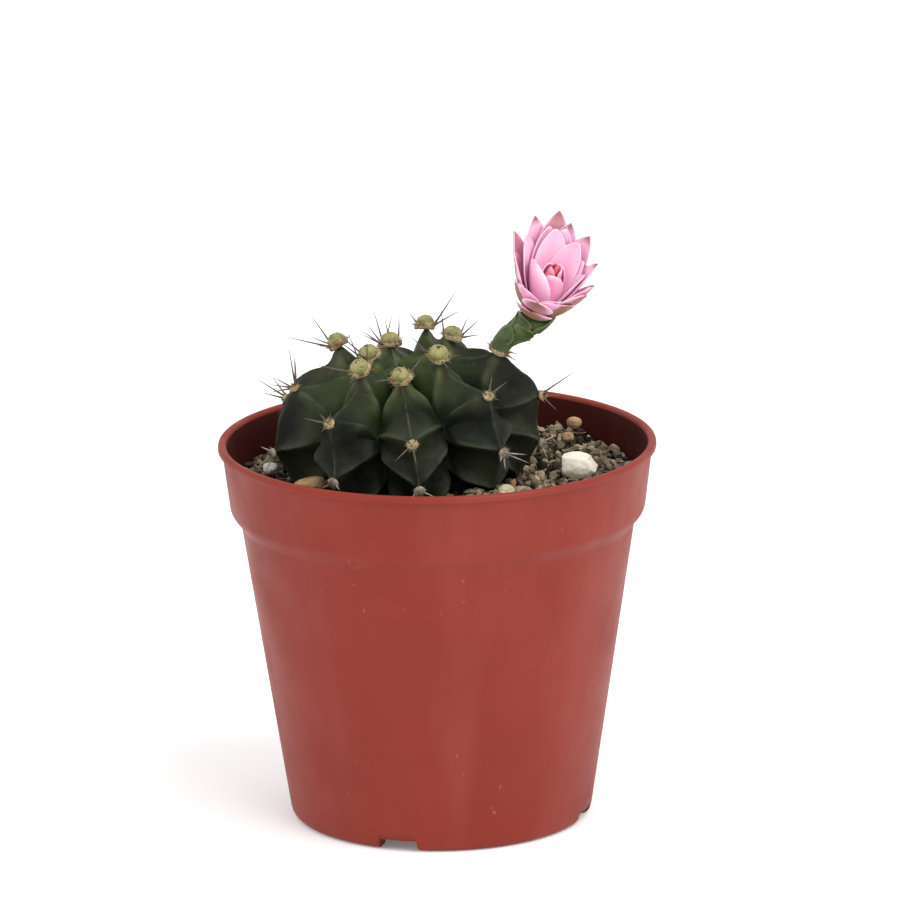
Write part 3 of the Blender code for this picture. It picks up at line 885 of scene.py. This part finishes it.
FELT_CREAM = (0.43, 0.35, 0.205)
FELT_PALE = (0.33, 0.29, 0.235)
FELT_RUST = (0.17, 0.060, 0.022)
SPINE_DARK = (0.045, 0.024, 0.017)
SPINE_GREY = (0.125, 0.088, 0.072)
SPINE_PALE = (0.42, 0.34, 0.31)
PAD_HALF = (1.15 * MM, 1.0 * MM, 0.62 * MM)
CUP_RADIUS = 1.5 * MM
CUP_ROUND = 0.5 * MM
SPINE_RADIUS = 0.235 * MM
CROWN_TILT = 16

# Spines of each areole: (way round the cushion from straight up, spread from its middle, length
# in mm). The crown's stand up and out, and the lower ones lie closer to the skin.
FANS = {
    "f2": ((180, 70, 2.5), (230, 75, 2.5)),
    "g2": ((180, 60, 3), (140, 65, 3)),
    "a1": ((200, 25, 6), (240, 40, 7), (120, 40, 5)),
    "b1": ((236, 55, 7.5), (330, 22, 7), (20, 30, 5), (180, 80, 3), (150, 70, 2.5)),
    "c1": ((350, 30, 5), (265, 78, 4), (70, 55, 5.5), (200, 85, 2.5)),
    "d1": ((313, 45, 6), (322, 62, 3.5), (140, 70, 3), (200, 80, 3)),
    "e1": ((150, 85, 3), (205, 85, 3)),
    "f1": ((20, 20, 5), (180, 15, 4.5), (180, 45, 6), (185, 72, 4.5)),
    "g1": ((230, 33, 8.5), (238, 55, 6.2), (90, 42, 3.5)),
    "h1": ((165, 55, 9.5), (180, 8, 7.5), (198, 64, 6.8), (100, 62, 4)),
    "i1": ((100, 25, 5), (180, 8, 5), (270, 14, 5.5), (60, 60, 5.5)),
    "a2": ((350, 20, 8.2), (335, 35, 6), (20, 30, 5.5), (230, 45, 4.5), (215, 55, 4.5), (190, 65, 4.5)),
    "b2": ((272, 72, 5.2), (305, 45, 2.5), (20, 40, 2.2), (200, 60, 2.2)),
    "c2": ((240, 66, 4.4), (178, 60, 3.8), (320, 45, 1.8), (40, 50, 1.8)),
    "d2": ((35, 48, 3.8), (82, 62, 4.4), (300, 45, 2.0), (160, 60, 2.0)),
    "e2": ((40, 30, 7.8), (120, 35, 4.2), (170, 55, 4.2), (300, 50, 2.5)),
    "a3": ((200, 30, 4.4), (170, 55, 3.8), (320, 40, 2.5)),
    "b3": ((250, 60, 2.2), (110, 60, 2.2), (10, 50, 2.0)),
    "c3": ((250, 62, 3.0), (110, 62, 3.0)),
    "d3": ((105, 50, 4.2), (125, 60, 5.2), (200, 65, 3.0), (250, 60, 2.2)),
}
MIDDLE_FAN = ((-100, 62, 4.5), (-40, 40, 6.0), (10, 30, 7.0), (60, 50, 5.0), (150, 66, 3.5))
LOWER_FAN = ((-110, 62, 4.0), (-60, 50, 3.5), (80, 58, 4.5))


def seat_on_body(turn, latitude):
    """Where an areole sits on the skin, and its axes there: side, up the rib, and out."""
    slope = crest_slope(latitude)
    normal = towards(turn, slope.x, slope.y)
    point = crest_point(latitude)
    start = plant_axes @ (towards(turn, point.x, point.y) + 10 * MM * normal)
    normal = plant_axes.to_3x3() @ normal
    place = body_tree.ray_cast(start, -normal)[0]
    side = (plant_axes.to_3x3() @ Vector((0, 0, 1))).cross(normal).normalized()
    axes = Matrix((side, normal.cross(side), normal)).transposed()
    return Matrix.LocRotScale(place, axes, None)


def hair_mesh():
    shape = bmesh.new()
    bmesh.ops.create_cone(shape, segments=3, radius1=0.06, radius2=0.012, depth=1, cap_ends=True,
                          matrix=Matrix.Translation((0, 0, 0.5)))
    mesh = bpy.data.meshes.new("hair")
    shape.to_mesh(mesh)
    shape.free()
    return mesh


def spine_mesh():
    """A straight spine 1 unit long, with rings to bend it by, marked from root to tip."""
    shape = bmesh.new()
    along = shape.verts.layers.float.new("along")
    bmesh.ops.create_cone(shape, segments=7, radius1=1, radius2=0.16, depth=1, cap_ends=True,
                          matrix=Matrix.Translation((0, 0, 0.5)))
    long_edges = [edge for edge in shape.edges if abs(edge.verts[0].co.z - edge.verts[1].co.z) > 0.5]
    bmesh.ops.subdivide_edges(shape, edges=long_edges, cuts=7)
    for vert in shape.verts:
        vert[along] = vert.co.z
    mesh = bpy.data.meshes.new("spine")
    shape.to_mesh(mesh)
    shape.free()
    return mesh


plain_hair = hair_mesh()
plain_spine = spine_mesh()


def add_copy(shape, mesh, matrix, kind):
    made = mesh.copy()
    made.polygons.foreach_set("material_index", [kind] * len(made.polygons))
    made.transform(matrix)
    shape.from_mesh(made)
    bpy.data.meshes.remove(made)


def add_spine(shape, seat, root, around, spread, length, kind):
    """One spine: it leaves the cushion at its root and curves a little back towards the rib."""
    made = plain_spine.copy()
    bend = rng.uniform(-0.05, 0.07)
    sway = rng.uniform(-0.05, 0.05)
    for vert in made.vertices:
        along = vert.co.z
        vert.co.x = vert.co.x * SPINE_RADIUS + sway * length * MM * along**2
        vert.co.y = vert.co.y * SPINE_RADIUS + bend * length * MM * along**2
        vert.co.z = along * length * MM
    made.polygons.foreach_set("material_index", [kind] * len(made.polygons))
    turned = Matrix.Rotation(math.radians(-around), 4, "Z")
    tilted = Matrix.Rotation(math.radians(-spread), 4, "X")
    made.transform(seat @ turned @ Matrix.Translation((0, root, 0)) @ tilted)
    shape.from_mesh(made)
    bpy.data.meshes.remove(made)


def add_hairs(shape, seat, half, count, length):
    """Short hairs that stand out all over a cushion."""
    for _ in range(count):
        turn = rng.uniform(0, math.tau)
        lie = rng.uniform(0.0, 1.45)
        out = Vector((math.sin(lie) * math.cos(turn), math.sin(lie) * math.sin(turn), math.cos(lie)))
        root = Vector((out.x * half[0], out.y * half[1], out.z * half[2])) * 0.9
        lean = out + Vector([rng.uniform(-0.45, 0.45) for _ in range(3)])
        turned = lean.to_track_quat("Z", "Y").to_matrix()
        tall = length * rng.uniform(0.6, 1.3)
        matrix = seat @ Matrix.LocRotScale(root, turned, Vector((tall * 1.2, tall * 1.2, tall)))
        add_copy(shape, plain_hair, matrix, 0)


def cushion_shape(seat, half, seed):
    shape = bmesh.new()
    shape.verts.layers.float.new("along")
    bmesh.ops.create_uvsphere(shape, u_segments=22, v_segments=12, radius=1)
    for vert in shape.verts:
        rough = 1 + 0.16 * noise.noise(vert.co * 2.5 + Vector((seed, 0, 0)))
        vert.co = Vector([size * value for size, value in zip(half, vert.co)]) * rough
    bmesh.ops.transform(shape, matrix=seat, verts=shape.verts)
    return shape


def cup_shape(seat, seed):
    """A felt ring: a round bead spun about the bud, roughened, with a floor across it."""
    shape = bmesh.new()
    shape.verts.layers.float.new("along")
    place = Matrix.Translation((CUP_RADIUS, 0, 0)) @ Matrix.Rotation(math.radians(90), 4, "X")
    ring = bmesh.ops.create_circle(shape, segments=12, radius=CUP_ROUND, matrix=place)["verts"]
    edges = list({edge for vert in ring for edge in vert.link_edges})
    bmesh.ops.spin(shape, geom=ring + edges, cent=(0, 0, 0), axis=(0, 0, 1), angle=math.tau, steps=28,
                   use_merge=True)
    bmesh.ops.remove_doubles(shape, verts=shape.verts, dist=0.002 * MM)
    floor_disc = bmesh.ops.create_uvsphere(shape, u_segments=20, v_segments=8, radius=1)["verts"]
    for vert in floor_disc:
        vert.co = Vector((vert.co.x * CUP_RADIUS, vert.co.y * CUP_RADIUS, vert.co.z * 0.4 * MM))
    for vert in shape.verts:
        vert.co *= 1 + 0.30 * noise.noise(vert.co * 700 + Vector((seed, 0, 0)))
        vert.co.z *= 1.3
    bmesh.ops.transform(shape, matrix=seat, verts=shape.verts)
    return shape


def felt_finish(name, colour):
    felt = Finish(name, colour, 0.95, 0.1)
    felt.layer(felt.patches(420, 0.47, 0.62, 3), FELT_RUST, 0.75)
    felt.layer(felt.patches(2600, 0.5, 0.65, 2), tuple(min(1, c * 1.4) for c in colour), 0.7)
    felt.bump(felt.patches(4000, 0.2, 0.8, 3), 0.15 * MM, 0.9)
    return felt.material


def spine_finish(name, colour):
    spine = Finish(name, colour, 0.5, 0.4)
    along = spine.attribute("along")
    spine.layer(spine.ranged(along, 0.45, 0.0), SPINE_DARK, 0.95)
    spine.layer(spine.ranged(along, 0.75, 1.0), SPINE_DARK, 0.6)
    spine.layer(spine.patches(1500, 0.45, 0.6, 3), tuple(c * 0.55 for c in colour), 0.6)
    spine.bump(spine.patches(5000, 0.2, 0.8, 2), 0.03 * MM, 0.5)
    return spine.material


felt_cream = felt_finish("felt_cream", FELT_CREAM)
felt_pale = felt_finish("felt_pale", FELT_PALE)
spine_grey = spine_finish("spine_grey", SPINE_GREY)
spine_pale = spine_finish("spine_pale", SPINE_PALE)
crown_seats = {}
for rib, (letter, turn, areoles) in enumerate(RIBS):
    for level, (latitude, _, _) in enumerate(areoles, 1):
        seat = seat_on_body(turn, latitude)
        name = f"areole_{letter}{level}"
        if level == 1:
            seat = seat @ Matrix.Rotation(math.radians(CROWN_TILT), 4, "X")
            crown_seats[letter] = seat
            seat = seat @ Matrix.Translation((0, 0, 0.45 * MM))
            areole = cup_shape(seat, rib)
            half = (CUP_RADIUS + CUP_ROUND, CUP_RADIUS + CUP_ROUND, 0.5 * MM)
            add_hairs(areole, seat, half, 300, 1.05 * MM)
            root = CUP_RADIUS
        else:
            seat = seat @ Matrix.Translation((0, 0, 0.35 * MM))
            areole = cushion_shape(seat, PAD_HALF, rib + 10 * level)
            add_hairs(areole, seat, PAD_HALF, 110, 0.6 * MM)
            root = 0.3 * MM
        for around, spread, length in FANS.get(f"{letter}{level}", MIDDLE_FAN if level == 2 else LOWER_FAN):
            add_spine(areole, seat, root, around, spread, length, 1)
        felt = felt_pale if level == 3 else felt_cream
        spine = spine_pale if level == 3 else spine_grey
        made = add_piece(f"{name}_felt_and_spines", areole, felt, spine)
        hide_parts(name)


# Flower buds: small green balls, one in each crown cup but the flowering one. Tiny scales with
# pale edges wrap them, and close over a dimple on the end.

BUD_RADIUS = 1.9 * MM
BUD_SCALES = 9
BUD_GREEN = (0.205, 0.200, 0.058)
BUD_PALE = (0.36, 0.315, 0.15)
BUD_DEEP = (0.075, 0.105, 0.022)


def thicken(shape, sheet, thickness):
    """Gives a sheet of verts its thickness: a copy of it is pushed inwards and joined at the edges."""
    faces = list({face for vert in sheet for face in vert.link_faces})
    bmesh.ops.recalc_face_normals(shape, faces=faces)
    made = bmesh.ops.extrude_face_region(shape, geom=faces, use_keep_orig=True)["geom"]
    inner = [part for part in made if isinstance(part, bmesh.types.BMVert)]
    shape.normal_update()
    for vert, normal in [(vert, vert.normal.copy()) for vert in inner]:
        vert.co -= normal * thickness


def bud_shape(seat, seed):
    shape = bmesh.new()
    rim = shape.verts.layers.float.new("rim")
    deep = shape.verts.layers.float.new("deep")
    core = bmesh.ops.create_uvsphere(shape, u_segments=32, v_segments=20, radius=1)["verts"]
    for vert in core:
        flat = math.hypot(vert.co.x, vert.co.y)
        dimple = math.exp(-((flat / 0.3) ** 2)) if vert.co.z > 0 else 0
        vert.co *= 1 - 0.3 * dimple + 0.05 * noise.noise(vert.co * 3 + Vector((seed, 0, 0)))
        vert[rim] = 0
        vert[deep] = dimple
    for i in range(BUD_SCALES):
        around = i * 137.5 + seed * 40
        low = -25 + 62 * (i / BUD_SCALES)
        before = set(shape.verts)
        bmesh.ops.create_grid(shape, x_segments=8, y_segments=10, size=0.5)
        leaf = [vert for vert in shape.verts if vert not in before]
        for vert in leaf:
            across, along = 2 * vert.co.x, vert.co.y + 0.5
            width = 38 * math.sin(math.pi * (0.2 + 0.78 * along)) ** 0.8
            edge = max(abs(across), along)
            vert[rim] = max(0, (edge - 0.7) / 0.3)
            angle = math.radians(low + 58 * along)
            lifted = 1.03 + 0.05 * (1 - abs(across)) * along - 0.03 * abs(across)
            vert.co = towards(around + width * across / max(0.35, math.cos(angle)) * 0.8,
                              lifted * math.cos(angle), lifted * math.sin(angle))
        thicken(shape, leaf, 0.05)
    height = BUD_RADIUS * 0.85
    place = seat @ Matrix.Translation((0, 0, 0.72 * height))
    size = 1 - 0.12 * (seed % 3) / 2
    scale = Matrix.Diagonal((BUD_RADIUS * size, BUD_RADIUS * size, height * size, 1))
    bmesh.ops.transform(shape, matrix=place @ scale, verts=shape.verts)
    return shape


bud_finish = Finish("bud_green", BUD_GREEN, 0.55, 0.35)
bud_finish.layer(bud_finish.patches(800, 0.4, 0.6, 3), BUD_PALE, 0.6)
bud_finish.layer(bud_finish.patches(450, 0.55, 0.7, 3), BUD_DEEP, 0.6)
bud_finish.layer(bud_finish.attribute("rim"), BUD_PALE, 0.7)
bud_finish.layer(bud_finish.attribute("deep"), BUD_DEEP, 0.9)
bud_finish.bump(bud_finish.patches(2500, 0.2, 0.8, 3), 0.06 * MM, 0.6)
for i, letter in enumerate("abcdfgih"):
    bud = add_piece(f"bud_{letter}_ball", bud_shape(crown_seats[letter], i), bud_finish.material)
    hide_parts(f"bud_{letter}")


# Flower tube: a fleshy green stalk out of the topmost areole of the right-hand rib. It widens
# to the petals, and broad scales with pale edges lie on it like roof tiles.

FLOWER_LEAN = 31
FLOWER_TURN = 36
TUBE_BASE_RADIUS = 1.9 * MM
TUBE_TOP_RADIUS = 3.0 * MM
TUBE_BEND = 4.0 * MM
TUBE_GREEN = (0.092, 0.130, 0.040)
TUBE_DEEP = (0.032, 0.058, 0.018)
TUBE_PALE = (0.24, 0.255, 0.13)
TUBE_SCALES = ((0.08, -60), (0.18, 60), (0.26, 180), (0.40, -15), (0.50, 105), (0.56, 235),
               (0.74, 45), (0.78, 165), (0.80, -75))

flower_axis = towards(FLOWER_TURN, math.sin(math.radians(FLOWER_LEAN)), math.cos(math.radians(FLOWER_LEAN)))
heart_points = [vert.co.copy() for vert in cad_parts["flower_heart"].data.vertices]
heart_foot = min(point.dot(flower_axis) for point in heart_points)
foot_ring = [point for point in heart_points if point.dot(flower_axis) < heart_foot + 0.05 * MM]
HEART_RISE = 0.6 * MM
flower_place = sum(foot_ring, Vector()) / len(foot_ring) - HEART_RISE * flower_axis
flower_axes = Matrix.LocRotScale(flower_place, flower_axis.to_track_quat("Z", "Y"), None)
tube_seat = crown_seats["e"] @ Matrix.Translation((0, 0, 0.9 * MM))
tube_foot = tube_seat.to_translation()
tube_leaves = tube_seat.to_3x3().col[2]


def tube_frame(share):
    """Place and axes of the tube's middle line: 0 at its foot, 1 at its top, with its radius."""
    ends = (tube_foot, tube_foot + tube_leaves * TUBE_BEND, flower_place - flower_axis * TUBE_BEND,
            flower_place)
    first = [here.lerp(there, share) for here, there in zip(ends, ends[1:])]
    second = [here.lerp(there, share) for here, there in zip(first, first[1:])]
    heading = (second[1] - second[0]).normalized()
    side = heading.cross(Vector((0, 1, 0))).normalized()
    axes = Matrix((side, heading.cross(side), heading)).transposed()
    radius = TUBE_BASE_RADIUS + (TUBE_TOP_RADIUS - TUBE_BASE_RADIUS) * share**1.4
    return Matrix.LocRotScale(second[0].lerp(second[1], share), axes, None), radius


def tube_shape():
    shape = bmesh.new()
    rim = shape.verts.layers.float.new("rim")
    rings = 28
    loops = []
    for i in range(rings + 1):
        place, radius = tube_frame(i / rings)
        ring = bmesh.ops.create_circle(shape, segments=40, radius=radius, matrix=place)["verts"]
        loops.append(list({edge for vert in ring for edge in vert.link_edges}))
    for low, high in zip(loops, loops[1:]):
        bmesh.ops.bridge_loops(shape, edges=low + high)
    for loop in (loops[0], loops[-1]):
        bmesh.ops.contextual_create(shape, geom=loop)
    for vert in shape.verts:
        vert.co += 0.12 * MM * noise.noise(vert.co * 500) * Vector((1, 1, 1)).normalized()
    for index, (foot, around) in enumerate(TUBE_SCALES):
        before = set(shape.verts)
        bmesh.ops.create_grid(shape, x_segments=12, y_segments=16, size=0.5)
        leaf = [vert for vert in shape.verts if vert not in before]
        reach_up = 0.30
        for vert in leaf:
            across, along = 2 * vert.co.x, vert.co.y + 0.5
            place, radius = tube_frame(min(1.06, foot + reach_up * along))
            width = math.radians(54) * math.sin(math.pi * (0.34 + 0.645 * along)) ** 0.9
            edge = max(abs(across), 2 * along - 1)
            vert[rim] = max(0, (edge - 0.72) / 0.28)
            angle = math.radians(around) + width * across
            lift = radius + (0.10 + 0.60 * along**2) * MM * (1 - 0.35 * abs(across))
            vert.co = place @ Vector((lift * math.cos(angle), lift * math.sin(angle), 0))
        thicken(shape, leaf, 0.22 * MM)
    return shape


tube_finish = Finish("tube_green", TUBE_GREEN, 0.5, 0.35)
tube_finish.layer(tube_finish.patches(260, 0.4, 0.65, 4), TUBE_DEEP, 0.8)
tube_finish.layer(tube_finish.patches(1300, 0.6, 0.7, 2), TUBE_PALE, 0.3)
tube_finish.layer(tube_finish.attribute("rim"), TUBE_PALE, 0.65)
tube_finish.bump(tube_finish.patches(1500, 0.2, 0.8, 3), 0.08 * MM, 0.5)
tube = add_piece("tube_with_scales", tube_shape(), tube_finish.material, sharp=70)
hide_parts("flower_tube")


# Petals: thin and satiny, in whorls: short brown sepals outside, long pink petals with brown
# tips, and paler inner ones. Each is lance-shaped and cupped, and opens more towards the light.

PETAL_THICK = 0.18 * MM
PETAL_RISE = 0.5 * MM
PINK_PALE = (0.97, 0.60, 0.78)
PINK = (0.96, 0.46, 0.67)
PINK_DEEP = (0.86, 0.22, 0.42)
PETAL_WHITE = (0.97, 0.74, 0.86)
TIP_BROWN = (0.30, 0.125, 0.10)
SEPAL_BROWN = (0.36, 0.175, 0.115)
SEPAL_GREEN = (0.13, 0.115, 0.04)

# Each petal: its turn round the flower's axis from the lower side, how far it opens in degrees,
# its length and greatest half width in mm, and how much its tip curls outwards in degrees.
WHORLS = {
    "inner_petal": (
        (42, 20, 13.0, 3.0, 0), (110, 17, 15.5, 3.2, 0), (158, 17, 16.6, 3.3, 0), (264, 15, 13.6, 4.6, 0),
        (342, 33, 10.5, 3.1, 0),
    ),
    "outer_petal": (
        (2, 31, 15.0, 3.2, 0), (50, 19, 16.2, 3.0, 0), (104, 20, 17.2, 3.1, 0), (136, 20, 17.6, 3.0, 0),
        (186, 23, 18.3, 3.0, 0), (234, 28, 13.6, 3.3, 0), (310, 40, 12.6, 3.4, 0),
    ),
    "sepal": (
        (27, 26, 14.0, 2.9, 0), (80, 19, 12.6, 2.8, 0), (156, 19, 19.4, 3.3, 0), (218, 27, 16.8, 3.1, 0),
        (264, 33, 9.6, 3.4, 0), (348, 34, 11.8, 3.6, 0),
    ),
    "mid_petal": (
        (332, 37, 12.0, 3.3, 0), (22, 28, 13.8, 3.1, 0), (78, 17, 13.4, 3.0, 0), (140, 19, 16.6, 3.1, 0),
        (168, 19, 16.6, 3.0, 0), (212, 22, 16.0, 3.1, 0), (284, 35, 12.0, 3.3, 0),
    ),
    "bract": ((306, 46, 8.0, 4.1, 0), (44, 26, 8.5, 3.4, 0)),
}
BASE_RADII = {"inner_petal": 1.5 * MM, "mid_petal": 1.9 * MM, "outer_petal": 2.3 * MM, "sepal": 2.6 * MM,
              "bract": 2.8 * MM}
EXTRA_SLOTS = {"mid_petal": "inner_petal", "bract": "sepal"}


def petal_sheet(seed, base, opening, length, half_width, curl):
    """A petal over turn 0 of the flower's axis, on a middle line that opens outwards and then curls."""
    shape = bmesh.new()
    shape.loops.layers.uv.new("petal")
    rows = 30
    bmesh.ops.create_grid(shape, x_segments=14, y_segments=rows, size=0.5, calc_uvs=True)
    line = [(Vector((base, 0)), 0.0)]
    for i in range(rows):
        share = (i + 0.5) / rows
        angle = math.radians(opening * min(0.55 + 4.2 * share, 1.42 - 0.75 * share) + curl * share**3)
        step = Vector((math.sin(angle), math.cos(angle))) * length * MM / rows
        line.append((line[-1][0] + step, angle))
    for vert in shape.verts:
        across, along = 2 * vert.co.x, vert.co.y + 0.5
        place, angle = line[round(along * rows)]
        rising = min(1, along / 0.6)
        falling = max(0, (along - 0.6) / 0.4)
        lance = (0.40 + 0.60 * math.sin(rising * math.pi / 2)) * max(0.03, 1 - falling**2.1) ** 0.72
        width = half_width * MM * lance
        inward = Vector((-math.cos(angle), math.sin(angle)))
        cup = width * 0.42 * across**2 * (1 - 0.3 * along) + 0.22 * MM * across * (1 - along)
        keel = -0.12 * MM * math.exp(-((across / 0.2) ** 2)) * math.sin(math.pi * along)
        ripple = 0.22 * MM * noise.noise(Vector((across * 1.6, along * 4, seed * 3.7))) * along
        place = place + inward * (cup + keel + ripple)
        vert.co = Vector((width * across * (1 - 0.06 * across**2), -place.x, place.y))
    return shape


def petal_finish(name, pale, mid, deep, tip, tip_start, back, core=None):
    """Satin petal: deep at its claw, pale along its edges, veined, with a coloured tip."""
    petal = Finish(name, mid, 0.45, 0.35)
    uv = petal.tree.nodes.new("ShaderNodeUVMap")
    uv.uv_map = "petal"
    split = petal.tree.nodes.new("ShaderNodeSeparateXYZ")
    petal.tree.links.new(uv.outputs["UV"], split.inputs["Vector"])
    across, along = split.outputs["X"], split.outputs["Y"]
    away = petal.tree.nodes.new("ShaderNodeMath")
    away.operation = "SUBTRACT"
    away.inputs[1].default_value = 0.5
    petal.tree.links.new(across, away.inputs[0])
    off_middle = petal.tree.nodes.new("ShaderNodeMath")
    off_middle.operation = "ABSOLUTE"
    petal.tree.links.new(away.outputs["Value"], off_middle.inputs[0])
    off_middle = off_middle.outputs["Value"]
    petal.layer(petal.ranged(off_middle, 0.1, 0.45), pale, 0.8)
    petal.layer(petal.ranged(along, 0.45, 0.0), deep, 0.85)
    veins = petal.tree.nodes.new("ShaderNodeMapping")
    veins.inputs["Scale"].default_value = (14, 1.2, 1)
    petal.tree.links.new(uv.outputs["UV"], veins.inputs["Vector"])
    streaks = petal.patches(1.6, 0.45, 0.65, 4, veins.outputs["Vector"])
    petal.layer(streaks, deep, 0.18)
    petal.layer(petal.ranged(off_middle, 0.44, 0.5), PETAL_WHITE, 0.35)
    if back:
        inner = petal.ranged(off_middle, 0.42, 0.28)
        petal.layer(petal.times(petal.ranged(along, tip_start - 0.35, tip_start), inner), back, 0.8)
    marked = petal.times(petal.ranged(along, tip_start, 0.97), petal.ranged(off_middle, 0.5, 0.30))
    petal.layer(marked, tip, 0.9)
    if core:
        petal.layer(petal.attribute("inner"), core, 0.9)
    petal.roughness(petal.patches(700, 0.3, 0.7), 0.38, 0.52)
    petal.bump(petal.patches(2.5, 0.3, 0.7, 4, veins.outputs["Vector"]), 0.1 * MM, 0.5)
    petal.bump(petal.patches(2500, 0.3, 0.7, 2), 0.03 * MM, 0.4)
    return petal.material


inner_finish = petal_finish("inner_petal_satin", PETAL_WHITE, PINK_PALE, PINK, PINK_PALE, 0.95, None)
outer_front = petal_finish("outer_petal_front", PINK_PALE, PINK_PALE, PINK_DEEP, TIP_BROWN, 0.88, None)
FINISHES = {
    "inner_petal": (inner_finish, inner_finish),
    "mid_petal": (
        petal_finish("mid_petal_front", PINK_PALE, PINK_PALE, PINK, PETAL_WHITE, 0.93, None),
        petal_finish("mid_petal_back", PINK_PALE, PINK, PINK_DEEP, PINK, 0.90, None),
    ),
    "outer_petal": (
        outer_front,
        petal_finish("outer_petal_back", PINK_PALE, PINK, PINK_DEEP, TIP_BROWN, 0.75, SEPAL_BROWN),
    ),
    "sepal": (
        petal_finish("sepal_front", PINK_PALE, PINK, PINK_DEEP, SEPAL_BROWN, 0.66, None),
        petal_finish("sepal_back", PINK, SEPAL_BROWN, SEPAL_GREEN, SEPAL_BROWN, 0.8, SEPAL_BROWN),
    ),
}

FINISHES["bract"] = FINISHES["sepal"]

for ring, (whorl, petals) in enumerate(WHORLS.items()):
    for i, (turn, opening, length, half_width, curl) in enumerate(petals, 1):
        sheet = petal_sheet(ring * 10 + i, BASE_RADII[whorl], opening, length, half_width, curl)
        around = Matrix.Rotation(math.radians(turn), 4, "Z")
        lift = Matrix.Translation((0, 0, PETAL_RISE))
        bmesh.ops.transform(sheet, matrix=flower_axes @ around @ lift, verts=sheet.verts)
        petal = add_piece(f"{whorl}_{i}_sheet", sheet, *reversed(FINISHES[whorl]), closed=False)
        shell = petal.modifiers.new("thickness", "SOLIDIFY")
        shell.thickness = PETAL_THICK
        shell.offset = 0
        shell.material_offset = 1
        if whorl in EXTRA_SLOTS:
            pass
        else:
            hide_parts(f"{whorl}_{i}")


# Flower heart: the innermost petals, still rolled round each other into a closed cone, which is
# coral red where they meet.

HEART_RADIUS = 3.1 * MM
HEART_HEIGHT = 12.2 * MM
HEART_CORAL = (0.86, 0.13, 0.20)
HEART_LEAVES = 7


def heart_shape():
    """Leaves that wrap a dome, each further out and a little lower than the one inside it."""
    shape = bmesh.new()
    shape.loops.layers.uv.new("petal")
    inner = shape.verts.layers.float.new("inner")
    for i in range(HEART_LEAVES):
        before = set(shape.verts)
        bmesh.ops.create_grid(shape, x_segments=18, y_segments=26, size=0.5, calc_uvs=True)
        leaf = [vert for vert in shape.verts if vert not in before]
        outer = i / (HEART_LEAVES - 1)
        for vert in leaf:
            across, along = 2 * vert.co.x, vert.co.y + 0.5
            vert[inner] = max(0, 1 - 1.5 * outer)
            closing = 1 - 0.46 * max(0, (along - 0.55) / 0.45) ** 2.2 * (1 - 0.6 * outer)
            radius = HEART_RADIUS * (0.30 + 0.72 * outer) * min(1, 0.42 + 1.2 * along) * closing
            wrap = (105 - 40 * outer) * (1 - 0.5 * along**6)
            turn = 137.5 * i + across * wrap
            radius *= 1 + 0.10 * across
            height = (HEART_HEIGHT - 1.6 * outer * MM) * along * (1 - 0.04 * across**2)
            vert.co = towards(turn, radius, height + HEART_RISE)
        thicken(shape, leaf, 0.16 * MM)
    bmesh.ops.transform(shape, matrix=flower_axes, verts=shape.verts)
    return shape


heart_finish = petal_finish("heart_petals", PINK_PALE, PINK, PINK_DEEP, PETAL_WHITE, 0.9, None,
                            HEART_CORAL)
heart = add_piece("rolled_heart", heart_shape(), heart_finish)
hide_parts("flower_heart")
